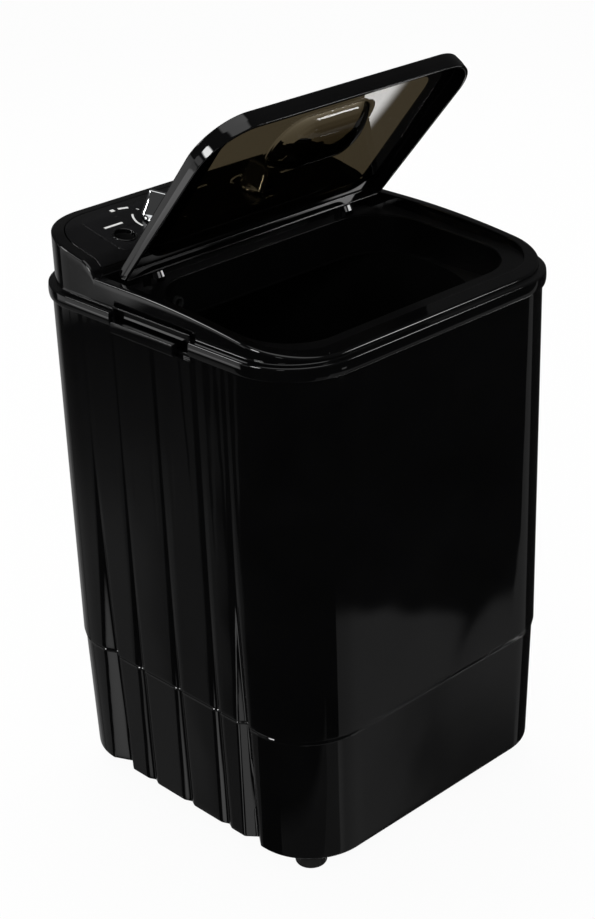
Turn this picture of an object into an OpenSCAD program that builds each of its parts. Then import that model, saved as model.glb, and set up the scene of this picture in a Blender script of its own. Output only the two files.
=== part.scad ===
// Small top-loading washing machine with one tub, its lid standing open.
// Millimetres, +Z up, front towards -Y, origin on the floor under the middle of the body.

/* [Body] */
// Width of the cabinet, side to side
body_w = 353; // [345:1:362]
// Depth of the cabinet, front to back
body_d = 353; // [345:1:362]
// Radius of the upright corners
corner_r = 64; // [58:1:68]
// Thickness of the moulded walls
wall = 2.5; // [2:0.1:2.8]
// Height of the base's underside over the floor
ground_gap = 15; // [13:1:18]
// Height of the seam between base and cabinet
seam_z = 149; // [146:1:154]
// Height of the lower edge of the rim band
rim_z = 500; // [494:1:520]

/* [Base] */
// Set-back of the base from the cabinet at the seam
seam_step = 1.8; // [1.2:0.1:2.4]
// Draft of the base's walls, from the seam down to its foot
base_draft = 2.6; // [1:0.1:3.5]
// Height of the lip that the cabinet slides over
lap_h = 9; // [6:1:12]
// Clearance of parts that slot into each other
slot_gap = 0.3; // [0.2:0.05:0.4]
// Clearance between the service opening and the motor's posts
service_side = 6; // [4:0.5:8]
// Distance of the service opening from the cabinet's front
service_front = 81.5; // [78:0.5:88]
// Distance of the service opening from the cabinet's back
service_back = 49.5; // [48:0.5:56]

/* [Flutes] */
// Distance of the rear flute from the start of the rear corner
flute_rear_set = 21; // [20:0.5:24]
// Distance of the front flute from the start of the front corner
flute_front_set = 19; // [18:0.5:22]
// Distance between the rear flute and the next one
flute_rear_gap = 42.5; // [40:0.5:44]
// Distance between the front flute and the next one
flute_front_gap = 35.5; // [33:0.5:38]
// Depth of the outer flutes at the foot
flute_deep = 9; // [6:0.5:9.5]
// Depth of the narrow flutes at the foot
flute_shallow = 3.5; // [2.5:0.5:4.5]
// Height where the flutes run out
flute_top = 410; // [380:5:440]

/* [Top frame] */
// How far the rim band stands proud of the cabinet
band_out = 3.5; // [2.5:0.25:4.5]
// Height of the rim band
band_h = 13; // [11:0.5:15]
// Set-back of the frame's skirt from the cabinet
skirt_inset = 3.5; // [3:0.25:4.5]
// Height of the rim at the front, over the band's lower edge
rim_front = 17; // [15:0.5:19]
// Height of the rim beside the hinge, over the band's lower edge
rim_back = 36; // [35:0.5:38]
// Height of the console at the back, over the band's lower edge
console_h = 61.5; // [59:0.5:65]
// Width of the rim beside the lid
rim_side_w = 9.5; // [9:0.5:12]
// Width of the rim before the lid
rim_front_w = 16.2; // [15:0.2:18]
// Distance of the well's sides from the cabinet's sides
well_side_set = 26.5; // [25:0.5:31]
// Distance of the well's front edge from the cabinet's front
well_front_set = 33.5; // [31:0.5:38]
// Distance of the well's rear edge from the console's front
well_rear_set = 35; // [34:1:38]
// Corner radius of the well
well_r = 52; // [40:1:60]
// Depth of the console, to the back of the cabinet
console_d = 99.5; // [98:0.5:101]
// Width of the skirt's edge round the console's cover
bay_rim = 12; // [10:0.5:13]

/* [Lid] */
// Gap round the closed lid
lid_gap = 2.5; // [2:0.1:3]
// Corner radius at the lid's front
lid_r = 46; // [40:1:52]
// Depth of the lid's skirt at the hinge side
skirt_back = 11; // [10.5:0.5:11.5]
// Depth of the lid's skirt at the front
skirt_front = 16.5; // [15:0.5:17]
// Thickness of the lid's skirt
lid_skin = 3; // [2.4:0.1:3.4]
// Width of the black border around the window
border = 24; // [18:1:28]
// Thickness of the border and of the window
window_t = 2.2; // [1.8:0.1:2.6]
// Angle at which the lid stands open
open_angle = 50.8; // [45:0.2:60]
// Slope of the closed lid, down towards the front
closed_slope = 1; // [0.6:0.1:1.4]
// Height of the hinge pins over the band's lower edge
hinge_rise = 31.4; // [30.5:0.1:32]
// Distance of the hinge pins before the console's front
hinge_set = 19.3; // [18.6:0.1:20]
// Distance of the hinge lugs from the cabinet's sides
hinge_side_set = 56.5; // [52:0.5:70]
// Radius of the hinge pins
pin_r = 2; // [1.6:0.1:2.2]
// Running clearance of pins and shafts, on the radius
run_gap = 0.05; // [0.03:0.01:0.08]
// Width of the grip cup
cup_w = 124; // [100:1:130]
// Length of the grip cup, front to back
cup_l = 66; // [54:1:68]
// Depth of the grip cup
cup_h = 21; // [16:1:22]
// Distance of the grip cup's middle from the lid's front edge
cup_set = 64; // [62:1:68]

/* [Controls] */
// Distance of the two dials from the cabinet's sides
dial_side_set = 116; // [114.5:0.5:126]
// Distance of the dials before the cabinet's back
dial_back_set = 61; // [59:0.5:63]
// Length of the flat dial zone before the dials
flat_before = 25.5; // [24:0.5:27]
// Length of the flat dial zone behind the dials
flat_behind = 24.5; // [23:0.5:26]
// Distance of the dial plate's ends from the sides of the console's cover
plate_side_set = 30; // [28:0.5:44]
// Thickness of the dial plate
plate_t = 0.8; // [0.6:0.1:1]
// Radius of the knobs at their foot
knob_r = 17; // [15:0.5:19]
// Height of the knobs
knob_h = 25; // [20:0.5:27]
// Radius of the dial shafts
dial_shaft_r = 3; // [2.5:0.1:3.5]
// Distance of the water inlet from the cabinet's side
inlet_side_set = 65.5; // [63:0.5:68]
// Distance of the water inlet before the dials' middle
inlet_set = 9.5; // [7.5:0.5:12]
// Radius of the water inlet's bore
inlet_r = 9.5; // [8:0.25:10]
// Depth of the water inlet's bore and of the drain outlet's
socket_l = 26; // [20:1:30]

/* [Side handles] */
// Rear end of the handle pocket, behind the middle
handle_back = 50; // [46:1:52]
// Front end of the handle pocket, before the middle
handle_front = 53; // [50:1:54]
// Front end of the handle's lip, before the middle
lip_front = 33; // [28:1:38]
// Depth of the handle pocket
handle_depth = 18; // [16:0.5:19]
// Height of the pocket's roof over the band's lower edge
handle_roof = 18.5; // [17:0.5:19]
// Height of the pocket's floor under the band's lower edge
handle_floor = 20; // [16:1:24]

/* [Tub] */
// Clearance between the tub and the side handles' pockets
tub_side_gap = 11; // [10:0.5:16]
// Clearance between the tub and the cabinet's front wall
tub_front_gap = 4.5; // [3:0.5:6.5]
// Distance of the tub from the cabinet's back
tub_back_gap = 51; // [49:0.5:54]
// Height of the tub's floor
tub_floor = 190; // [186:1:196]
// Depth of the tub flange under the band's lower edge
flange_drop = 11; // [10:0.5:13]

/* [Drive] */
// Radius of the pulsator
pulsator_r = 108; // [95:1:112]
// Number of ribs on the pulsator
pulsator_ribs = 5; // [4:1:6]
// Radius of the drive shaft
shaft_r = 6; // [5:0.25:6.5]
// Outer radius of the bearings
bearing_r = 14; // [13:0.5:14.5]
// Radius of the drive pulley
pulley_r = 62; // [56:1:64]
// Radius of the motor pulley
motor_pulley_r = 17; // [15:0.5:18]
// Depth of the pulleys' groove
groove = 4; // [3.4:0.1:4.6]
// Height of the belt's middle
belt_z = 50; // [48:1:53]
// Width of the belt
belt_w = 8; // [7:0.5:9]
// Thickness of the belt
belt_t = 3; // [2.6:0.1:3.2]
// Distance of the motor's shaft before the cabinet's back
motor_back_set = 81.5; // [79:0.5:83.5]
// Radius of the motor
motor_r = 52; // [46:1:54]
// Height of the motor's can
motor_h = 60; // [52:1:62]
// Radius of the motor shaft
motor_shaft_r = 5; // [4:0.25:5.5]

/* [Outlet and feet] */
// Distance of the drain outlet from the cabinet's side
drain_side_set = 71.5; // [67:0.5:76]
// Height of the drain spigot
drain_z = 60; // [54:1:66]
// Bore radius of the drain pipe
drain_r = 9.5; // [8:0.25:10]
// Distance of the feet from the cabinet's walls
foot_inset = 37.5; // [36.5:0.5:44]
// Radius of the rubber feet
foot_r = 15; // [13:0.5:16]

/* [Hidden] */
$fn = 64;

// How far a cutter runs past a face
over = 1;
half_w = body_w / 2;
half_d = body_d / 2;
side_end_y = half_d - corner_r;

// Frame heights and outline
band_top = rim_z + band_h;
band_step = 1;
band_slope_h = 2.5;
ledge_h = 5;
ledge_z = rim_z + ledge_h;
hinge_z = rim_z + hinge_rise;
rim_back_z = rim_z + rim_back;
// Well above everything, for cutters and stock
above_h = 90;
above_z = rim_z + above_h;
// The rim starts to fall towards the front here
crown_set = 146.5;
crown_y = half_d - crown_set;
skirt_half_w = half_w - skirt_inset;
skirt_half_d = half_d - skirt_inset;
skirt_r = corner_r - skirt_inset;

// Console, its cover and its flat dial zone
console_y = half_d - console_d;
bay_set = 2;
bay_ledge = 4;
panel_t = 3;
panel_gap = 0.4;
dial_x = half_w - dial_side_set;
dial_y = half_d - dial_back_set;
flat_front_y = dial_y - flat_before;
flat_back_y = dial_y + flat_behind;
console_bulge = console_h - rim_back;
dial_tilt = atan((console_curve(flat_back_y) - console_curve(flat_front_y)) / (flat_back_y - flat_front_y));
dial_z = console_top(dial_y);
plate_w = 2 * (skirt_half_w - bay_rim - plate_side_set);
plate_front_set = 5;
plate_back_set = 9;
plate_front_y = flat_front_y - plate_front_set;
plate_back_y = flat_back_y + plate_back_set;
plate_r = 8;
hole_gap = 1;
shaft_sink = 12;
timer_w = 46;
timer_d = 40;
timer_h = 28;
switch_w = 32;
switch_d = 30;
switch_h = 24;
inlet_x = half_w - inlet_side_set;
inlet_y = dial_y - inlet_set;
spout_r = 6;
spout_wall = 1.8;
spout_z = ledge_z;

// Well
well_half_w = half_w - well_side_set;
well_front_y = well_front_set - half_d;
well_back_y = console_y - well_rear_set;
spout_reach = 6;
spout_front_y = well_back_y - spout_reach;
spout_cut_l = 20;

// Lid, in its own frame: pin axis at the origin, front towards -Y, outer face up
pin_back = 6;
pin_drop = 7;
hinge_x = half_w - hinge_side_set;
hinge_y = console_y - hinge_set;
seat_half_w = skirt_half_w - rim_side_w;
seat_front_y = rim_front_w - skirt_half_d;
lid_w = 2 * (seat_half_w - lid_gap);
lid_l = hinge_y - pin_back - seat_front_y - lid_gap;
lid_rear = -pin_back;
lid_front = lid_rear - lid_l;
lug_w = 12;
lug_r = 4.5;
lug_gap = 0.4;
ear_w = 3;
window_r = 24;
window_rear_step = 6;
window_rear = lid_rear - border + window_rear_step;

// Slope of the closed lid's lip and the seat under it
seat_gap = 0.5;
closed_rear_y = hinge_y - pin_back;
lip_rear_z = hinge_z + pin_drop - skirt_back;
lip_fall = (skirt_front - skirt_back) / lid_l + tan(closed_slope);
trough_set = 1.5;
trough_h = 18;
trough_y = well_back_y + wall + trough_set;
trough_z = rim_z + trough_h;
trough_back_y = console_y - wall;

// Screws, which stand in bosses round the well
screw_r = 2;
screw_head_r = 4;
screw_head_h = 2.5;
boss_r = 5;
boss_roof = 3;
frame_screw_l = 12;
frame_screw_rear_x = 60;

// Tub
flange_z = rim_z - flange_drop;
flange_t = 2.5;
flange_side = 4;
flange_front_set = 13;
flange_back_set = 46.5;
flange_front_y = flange_front_set - half_d;
flange_back_y = half_d - flange_back_set;
flange_corner_step = 10;
flange_r = corner_r - flange_corner_step;
tub_wall = 2.5;
tub_space_front = wall + tub_front_gap - half_d;
tub_space_back = half_d - tub_back_gap;
tub_out = min(half_w - handle_depth - tub_side_gap, (tub_space_back - tub_space_front) / 2);
tub_r = tub_out - tub_wall;
tub_y = (tub_space_front + tub_space_back) / 2;
tub_floor_t = 3;
drain_skin = 3;
drain_port_edge = 2;
drain_motor_gap = 5.5;
drain_port_set = tub_r - drain_r - drain_skin - drain_port_edge;
drain_port_x = motor_r + drain_r + drain_skin + drain_motor_gap;
drain_port_y = tub_y + sqrt(pow(drain_port_set, 2) - pow(drain_port_x, 2));
tub_leg_r = 12;
tub_leg_set = 7;
tub_leg_turn = 30;
tub_leg_x = (tub_out + tub_leg_set) * cos(tub_leg_turn);
tub_leg_y = (tub_out + tub_leg_set) * sin(tub_leg_turn);
tub_screw_end = 10;

// Drive stack, upwards from the base's floor
floor_t = 3;
floor_top = ground_gap + floor_t;
housing_wall = 3;
housing_r = bearing_r + housing_wall;
housing_h = 72;
housing_up = 2;
housing_top = tub_floor + housing_up;
housing_low = housing_top - housing_h;
housing_flange_r = 40;
housing_flange_t = 4;
bearing_h = 10;
seal_h = 6;
dish_gap = 6;
dish_z = tub_floor + dish_gap;
dish_t = 4;
hub_r = 22;
hub_h = 20;
hub_top = dish_z + hub_h;
rib_h = 14;
hub_screw_r = 7;
hub_screw_h = 3;
rib_half_foot = 9;
rib_half_top = 3;
shaft_up = 14;
shaft_top = tub_floor + shaft_up;
pulley_rim = 2;
pulley_h = belt_w + 2 * pulley_rim;
pulley_lip = 2;
groove_taper = 0.6;
nut_h = 8;
nut_r = 10;
nut_set = 2;
shaft_low = belt_z - pulley_h / 2 - nut_h - nut_set;
belt_gap = 0.3;
belt_slack = 3;

// Motor on its bracket and posts
motor_y = half_d - motor_back_set;
motor_drop = 4;
bracket_h = 118;
bracket_z = floor_top + bracket_h;
motor_top = bracket_z - motor_drop;
motor_lug_w = 14;
motor_lug_l = 10;
motor_shaft_up = 20;
bracket_t = 3;
bracket_rim = 12;
bracket_r = 8;
post_r = 6;
post_side_gap = 22;
post_pipe_gap = 11.5;
post_back_set = 39;
post_x = motor_r + post_side_gap + post_r;
post_front_y = drain_port_y - drain_r - drain_skin - post_pipe_gap - post_r;
post_back_y = motor_y + post_back_set;
post_hole = 14;
post_step = 3;
bracket_screw_end = 12;

// Floor of the base
service_half_w = post_x - post_r - service_side;
service_front_y = service_front - half_d;
service_back_y = half_d - service_back;
service_y = (service_front_y + service_back_y) / 2;
service_r = 12;
cover_t = 2.5;
cover_rim = 8;
cover_screw_set = 20;
vent_w = 6;
vent_l = 60;
vent_pitch = 16;
foot_x = half_w - foot_inset;
foot_y = half_d - foot_inset;
foot_step = 3;
foot_sink = 6;

// Outlet and lead entry in the base's back
drain_x = half_w - drain_side_set;
back_cut_l = 40;
gland_r = 8;
gland_bore_r = 3.5;
gland_flange = 3;
gland_end = 6;
socket_step = 1;

// Capacitor and terminal block on the floor
capacitor_r = 17.5;
capacitor_l = 60;
capacitor_side_set = 48.5;
capacitor_set = 18;
capacitor_x = half_w - capacitor_side_set;
capacitor_y = tub_y - capacitor_set;
clip_t = 1.2;
clip_w = 12;
clip_foot = 10;
clip_y = capacitor_y + (capacitor_l - clip_w) / 2;
terminal_w = 36;
terminal_d = 16;
terminal_h = 12;
terminal_pitch = 24;

// The bundle of wires runs across behind the mechanisms, at this place in a dial's own frame
bundle_r = 4;
branch_r = 3;
bundle_gap = 12;
bundle_back = timer_d / 2 + bundle_gap;
bundle_drop = 17;
splice = 11;
harness_side_set = 58.5;
harness_x = half_w - harness_side_set;
harness_y = dial_y + bundle_back * cos(dial_tilt) + bundle_drop * sin(dial_tilt);
harness_z = dial_z + bundle_back * sin(dial_tilt) - bundle_drop * cos(dial_tilt);

// Flutes, narrow ones between two deep ones, with their slopes as run per depth
flute_rear_y = side_end_y - flute_rear_set;
flute_front_y = flute_front_set - side_end_y;
flute_pitch = (flute_rear_y - flute_rear_gap - flute_front_gap - flute_front_y) / 2;
flute_mid_y = flute_rear_y - flute_rear_gap - flute_pitch;
flute_reach = 20;
seam_share = 0.72;
base_top_x = half_w - seam_step;
base_foot_x = base_top_x - base_draft;
base_top_y = half_d - seam_step;
base_foot_y = base_top_y - base_draft;
lap_shelf = 4;

// Height of the console's surface over the band's lower edge, as a quarter ellipse
function console_curve(y) = rim_back_z
    + console_bulge * sqrt(max(0, 1 - pow((skirt_half_d - y) / (skirt_half_d - console_y), 2)));

// The same surface with the flat dial zone
function console_top(y) = y < flat_front_y || y > flat_back_y ? console_curve(y)
    : console_curve(flat_front_y)
      + (console_curve(flat_back_y) - console_curve(flat_front_y))
        * (y - flat_front_y) / (flat_back_y - flat_front_y);

// Height of the rim before the console, falling in a parabola towards the front
function rim_top(y) = y > crown_y ? rim_back_z
    : rim_back_z - (rim_back - rim_front) * pow((crown_y - y) / (crown_y + skirt_half_d), 2);

function frame_top(y) = y < console_y ? rim_top(y) : console_top(y);

// Height of the seat under the closed lid's lip
function seat_z(y) = lip_rear_z - seat_gap - lip_fall * (closed_rear_y - y);

profile_ys = [
    for (i = [0:10]) -skirt_half_d - over + (crown_y + skirt_half_d + over) * i / 10,
    console_y,
    for (t = [0.02, 0.06, 0.12]) console_y + (skirt_half_d - console_y) * t,
    flat_front_y,
    flat_back_y,
    for (t = [0.5, 0.75]) flat_back_y + (skirt_half_d - flat_back_y) * t,
    half_d + over];

// Rounded rectangle, drawn as two bars and four discs
module rounded(w, d, r) {
    square([w - 2 * r, d], center = true);
    square([w, d - 2 * r], center = true);
    for (x = [-1, 1])
        for (y = [-1, 1])
            translate([x * (w / 2 - r), y * (d / 2 - r)])
                circle(r);
}

// Upright block with rounded corners, from its half width and half depth
module rounded_block(half_x, half_y, r, low, high) {
    translate([0, 0, low])
        linear_extrude(high - low)
            rounded(2 * half_x, 2 * half_y, r);
}

// The same between two places in y
module rounded_span(half_x, front, back, r, low, high) {
    translate([0, (front + back) / 2, 0])
        rounded_block(half_x, (back - front) / 2, r, low, high);
}

// Everything below the frame's side profile, shifted by some height
module under_profile(shift) {
    across()
        polygon([[profile_ys[0], flange_z],
                 for (y = profile_ys) [y, frame_top(y) + shift],
                 [profile_ys[len(profile_ys) - 1], flange_z]]);
}

// Runs a side profile right across the body
module across() {
    rotate([90, 0, 90])
        translate([0, 0, -half_w - over])
            linear_extrude(body_w + 2 * over)
                children();
}

// Everything above the lid seat
module above_seat(shift) {
    across()
        polygon([[-half_d, seat_z(-half_d) + shift],
                 [trough_y, seat_z(trough_y) + shift],
                 [trough_y, trough_z + shift],
                 [half_d, trough_z + shift],
                 [half_d, above_z],
                 [-half_d, above_z]]);
}

module seat_area(grow) {
    rounded_span(seat_half_w + grow, seat_front_y - grow, trough_back_y + grow, lid_r + lid_gap,
                 rim_z, above_z);
    translate([-seat_half_w - grow, 0, rim_z])
        cube([2 * (seat_half_w + grow), trough_back_y + grow, above_z - rim_z]);
}

module well(grow, low, high) {
    rounded_span(well_half_w + grow, well_front_y - grow, well_back_y + grow, well_r, low, high);
}

module console_bay(shrink, low) {
    inset = bay_rim + shrink;
    front = console_y + bay_set + shrink;
    intersection() {
        rounded_block(skirt_half_w - inset, skirt_half_d - inset, skirt_r - inset, low, above_z);
        translate([-half_w, front, low])
            cube([body_w, half_d, above_z - low]);
    }
}

// Space of one side handle with its pocket, on the left side
module handle_space(low, high) {
    translate([-half_w - band_out - over, -handle_front, low])
        cube([band_out + over + handle_depth, handle_back + handle_front, high - low]);
}

module both_sides() {
    children();
    mirror([1, 0, 0])
        children();
}

// The places, seen from above, where screws tie the tub's flange to the frame
module frame_screw_places(z) {
    for (side = [-1, 1]) {
        translate([side * (well_half_w - well_r), well_front_y - wall - boss_r + over, z])
            children();
        translate([side * frame_screw_rear_x, well_back_y + wall + boss_r - over, z])
            children();
    }
}

module four_places(x, y) {
    for (side = [-1, 1])
        for (end = [-1, 1])
            translate([side * x, end * y, 0])
                children();
}

module top_frame() {
    color("#0c0c0d") {
        difference() {
            union() {
                intersection() {
                    rounded_block(skirt_half_w, skirt_half_d, skirt_r, ledge_z, above_z);
                    under_profile(0);
                }
                band(band_out - band_step, rim_z, band_top);
                band(band_out, rim_z + band_slope_h, band_top - band_slope_h);
                well(wall, flange_z, ledge_z + over);
                frame_screw_places(flange_z)
                    cylinder(r = boss_r, h = frame_screw_l + boss_roof);
            }
            difference() {
                union() {
                    intersection() {
                        rounded_block(skirt_half_w - wall, skirt_half_d - wall, skirt_r - wall,
                                      ledge_z, above_z);
                        under_profile(-wall);
                    }
                    band(slot_gap, rim_z - over, ledge_z);
                }
                intersection() {
                    seat_area(wall);
                    above_seat(-wall);
                }
                well(wall, flange_z - over, above_z);
                frame_screw_places(flange_z)
                    cylinder(r = boss_r, h = frame_screw_l + boss_roof);
            }
            intersection() {
                seat_area(0);
                above_seat(0);
            }
            well(0, flange_z - over, above_z);
            console_bay(bay_ledge, ledge_z + over);
            difference() {
                console_bay(0, ledge_z + over);
                under_profile(-panel_t);
            }
            both_sides()
                handle_space(rim_z - over, rim_z + handle_roof);
            translate([-inlet_x, spout_front_y - over, spout_z])
                rotate([-90, 0, 0])
                    cylinder(r = spout_r + slot_gap, h = spout_cut_l);
            frame_screw_places(flange_z - over)
                cylinder(r = screw_r, h = frame_screw_l + over);
        }
        both_sides()
            for (x = [-1, 1])
                hinge_ear(hinge_x + x * (lug_w / 2 + lug_gap + ear_w / 2));
    }
}

// Ring-shaped stock round the cabinet's top
module band(grow, low, high) {
    rounded_block(half_w + grow, half_d + grow, corner_r + grow, low, high);
}

// One of the two ears that hold a hinge pin
module hinge_ear(x) {
    translate([x - ear_w / 2, hinge_y, 0])
        difference() {
            union() {
                translate([0, 0, hinge_z])
                    rotate([0, 90, 0])
                        cylinder(r = lug_r, h = ear_w);
                translate([0, -lug_r, trough_z])
                    cube([ear_w, 2 * lug_r, hinge_z - trough_z]);
            }
            translate([-over, 0, hinge_z])
                rotate([0, 90, 0])
                    cylinder(r = pin_r, h = ear_w + 2 * over);
        }
}

module control_panel() {
    color("#101012")
        difference() {
            intersection() {
                console_bay(panel_gap, ledge_z);
                under_profile(0);
            }
            under_profile(-panel_t);
            difference() {
                plate_area(0);
                under_profile(-plate_t);
            }
            panel_holes();
        }
}

// Openings through the panel and its plate for the dials' shafts and the inlet
module panel_holes() {
    for (x = [-dial_x, dial_x])
        on_dial(x)
            cylinder(r = dial_shaft_r + hole_gap, h = 3 * panel_t, center = true);
    on_slope(-inlet_x, inlet_y)
        cylinder(r = inlet_r + slot_gap, h = 4 * panel_t, center = true);
}

module plate_area(shrink) {
    rounded_span(plate_w / 2 - shrink, plate_front_y + shrink, plate_back_y - shrink, plate_r,
                 rim_z, above_z);
}

// Places its children on the sloping dial zone, with +Z square to it
module on_slope(x, y) {
    translate([x, y, console_top(y)])
        rotate([dial_tilt, 0, 0])
            children();
}

module on_dial(x) {
    on_slope(x, dial_y)
        children();
}

module dial_plate() {
    color("#141416")
        difference() {
            intersection() {
                plate_area(slot_gap);
                under_profile(0);
            }
            under_profile(-plate_t);
            panel_holes();
        }
}

// Round knob with a grip bar across it, pressed on its shaft
module knob(x, bar_angle) {
    disc_h = 4;
    bar_w = 10;
    bar_step = 1.5;
    on_dial(x)
        translate([0, 0, panel_gap])
            difference() {
                union() {
                    cylinder(r = knob_r, h = disc_h);
                    intersection() {
                        cylinder(r = knob_r - bar_step, h = knob_h);
                        rotate([0, 0, bar_angle])
                            translate([-bar_w / 2, -knob_r, 0])
                                cube([bar_w, 2 * knob_r, knob_h]);
                    }
                }
                translate([0, 0, -over])
                    cylinder(r = dial_shaft_r, h = shaft_sink + over);
            }
}

module wash_timer_knob() {
    color("#c9cacc")
        knob(-dial_x, 35);
}

module selector_knob() {
    color("#c9cacc")
        knob(dial_x, 0);
}

module dial_shaft(x) {
    on_dial(x)
        translate([0, 0, -shaft_sink])
            cylinder(r = dial_shaft_r, h = 2 * shaft_sink + panel_gap);
}

module timer_shaft() {
    color("#b0b3b8")
        dial_shaft(-dial_x);
}

module selector_shaft() {
    color("#b0b3b8")
        dial_shaft(dial_x);
}

// Body of a dial's mechanism, fixed under the panel, with a bore for its shaft
module mechanism(x, w, d, h) {
    on_dial(x)
        translate([0, 0, -panel_t * cos(dial_tilt)])
            difference() {
                translate([-w / 2, -d / 2, -h])
                    cube([w, d, h]);
                translate([0, 0, -shaft_sink])
                    cylinder(r = dial_shaft_r + run_gap, h = shaft_sink + over);
            }
}

module wash_timer() {
    color("#e8e4d8")
        mechanism(-dial_x, timer_w, timer_d, timer_h);
}

module selector_switch() {
    color("#e8e4d8")
        mechanism(dial_x, switch_w, switch_d, switch_h);
}

// Socket that takes the hose, square to the panel, with a spout forward into the well
module water_inlet() {
    skin = 3;
    neck_step = 1.5;
    socket_z = -panel_t * cos(dial_tilt);
    reach = (console_top(inlet_y) - spout_z + spout_r + skin) / cos(dial_tilt);
    color("#2a2a2c")
        difference() {
            union() {
                on_slope(-inlet_x, inlet_y)
                    translate([0, 0, -reach])
                        cylinder(r = inlet_r + skin, h = reach + socket_z);
                translate([-inlet_x, spout_front_y, spout_z])
                    rotate([-90, 0, 0])
                        cylinder(r = spout_r, h = inlet_y - spout_front_y);
            }
            on_slope(-inlet_x, inlet_y) {
                translate([0, 0, socket_z - socket_l])
                    cylinder(r = inlet_r, h = socket_l + over);
                translate([0, 0, skin - reach])
                    cylinder(r = inlet_r - neck_step, h = reach - skin);
            }
            translate([-inlet_x, spout_front_y - over, spout_z])
                rotate([-90, 0, 0])
                    cylinder(r = spout_r - spout_wall, h = inlet_y - spout_front_y);
        }
}

// Puts the lid's own frame at the hinge, at the angle at which it stands open
module lid_open() {
    translate([0, hinge_y, hinge_z])
        rotate([-open_angle, 0, 0])
            children();
}

// Outline of the lid with sharp rear corners and round front corners
module lid_outline(shrink) {
    r = lid_r - shrink;
    w = lid_w - 2 * shrink;
    front = lid_front + shrink;
    rear = lid_rear - shrink;
    translate([-w / 2, front + r])
        square([w, rear - front - r]);
    translate([-w / 2 + r, front])
        square([w - 2 * r, r + over]);
    for (x = [-1, 1])
        translate([x * (w / 2 - r), front + r])
            circle(r);
}

// The lid's lip leans: its skirt is deeper at the front
module above_lip() {
    rotate([90, 0, 90])
        translate([0, 0, -lid_w / 2 - over])
            linear_extrude(lid_w + 2 * over)
                polygon([[lid_front - over, pin_drop - skirt_front],
                         [lid_rear + over, pin_drop - skirt_back],
                         [lid_rear + over, pin_drop + over],
                         [lid_front - over, pin_drop + over]]);
}

// Opening of the border that the window fills
module window_shape(grow) {
    w = lid_w - 2 * border + 2 * grow;
    front = lid_front + border - grow;
    rear = window_rear + grow;
    translate([0, (front + rear) / 2])
        rounded(w, rear - front, window_r + grow);
}

module lid_frame() {
    color("#0b0b0c")
        lid_open() {
            difference() {
                intersection() {
                    translate([0, 0, pin_drop - skirt_front - over])
                        linear_extrude(skirt_front + over)
                            lid_outline(0);
                    above_lip();
                }
                translate([0, 0, pin_drop - skirt_front - 2 * over])
                    linear_extrude(skirt_front + 2 * over - window_t)
                        lid_outline(lid_skin);
                translate([0, 0, pin_drop - 2 * window_t])
                    linear_extrude(3 * window_t)
                        window_shape(0);
            }
            both_sides()
                lid_lug();
        }
}

// Lug around a hinge pin, with a web to the lid's rear skirt
module lid_lug() {
    web_t = 5;
    translate([hinge_x - lug_w / 2, 0, 0])
        difference() {
            union() {
                rotate([0, 90, 0])
                    cylinder(r = lug_r, h = lug_w);
                translate([0, lid_rear, -web_t / 2])
                    cube([lug_w, pin_back, web_t]);
            }
            translate([-over, 0, 0])
                rotate([0, 90, 0])
                    cylinder(r = pin_r + run_gap, h = lug_w + 2 * over);
        }
}

// Half an ellipsoid at each end, joined into the shape of a boat
module cup_form(shrink) {
    end_l = 30;
    hull()
        for (side = [-1, 1])
            translate([side * (cup_w / 2 - end_l), 0, 0])
                scale([end_l - shrink, cup_l / 2 - shrink, cup_h - shrink])
                    sphere(r = 1, $fn = 32);
}

module lid_window() {
    cup_t = 2;
    seat = 4;
    top = pin_drop - window_t;
    color([0.3, 0.24, 0.17, 0.45])
        lid_open()
            difference() {
                union() {
                    translate([0, 0, top - window_t])
                        linear_extrude(window_t)
                            window_shape(seat);
                    translate([0, lid_front + cup_set, top])
                        intersection() {
                            cup_form(0);
                            translate([-cup_w, -cup_l, -cup_h - over])
                                cube([2 * cup_w, 2 * cup_l, cup_h + over]);
                        }
                }
                translate([0, lid_front + cup_set, top])
                    cup_form(cup_t);
            }
}

module hinge_pin() {
    length = lug_w + 2 * lug_gap + 2 * ear_w;
    translate([hinge_x - length / 2, hinge_y, hinge_z])
        rotate([0, 90, 0])
            cylinder(r = pin_r, h = length);
}

module hinge_pin_left() {
    color("#b8bbc0")
        mirror([1, 0, 0])
            hinge_pin();
}

module hinge_pin_right() {
    color("#b8bbc0")
        hinge_pin();
}

// One V-shaped flute on the left side: a leaning prism whose edge runs along its bottom line
module flute(y, front_run, back_run, low, high, low_x, high_x, grow) {
    lean = atan((high_x - low_x) / (high - low));
    // The inner skin stands off by more than the wall, because the faces slope
    slope_share = 1.25;
    overlap = 10;
    translate([-low_x + grow * slope_share, y, low])
        rotate([0, -lean, 0])
            translate([0, 0, -overlap])
                linear_extrude((high - low) / cos(lean) + 2 * overlap)
                    polygon([[0, 0],
                             [-flute_reach, flute_reach * back_run],
                             [-flute_reach, -flute_reach * front_run]]);
}

// The five flutes of each side between two heights, with their depths at both
module flutes(low, high, face_low, face_high, share_low, share_high, grow) {
    deep_low = face_low - flute_deep * share_low;
    deep_high = face_high - flute_deep * share_high;
    both_sides() {
        flute(flute_rear_y, 1.35, 2.1, low, high, deep_low, deep_high, grow);
        flute(flute_front_y, 1.35, 1.2, low, high, deep_low, deep_high, grow);
        for (i = [-1:1])
            flute(i * flute_pitch + flute_mid_y, 2, 2.2, low, high,
                  face_low - flute_shallow * share_low, face_high - flute_shallow * share_high, grow);
    }
}

module cabinet_flutes(grow) {
    flutes(seam_z, flute_top, half_w, half_w, seam_share, 0, grow);
}

module base_flutes(grow) {
    flutes(ground_gap, seam_z, base_foot_x, base_top_x, 1, seam_share, grow);
}

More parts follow.
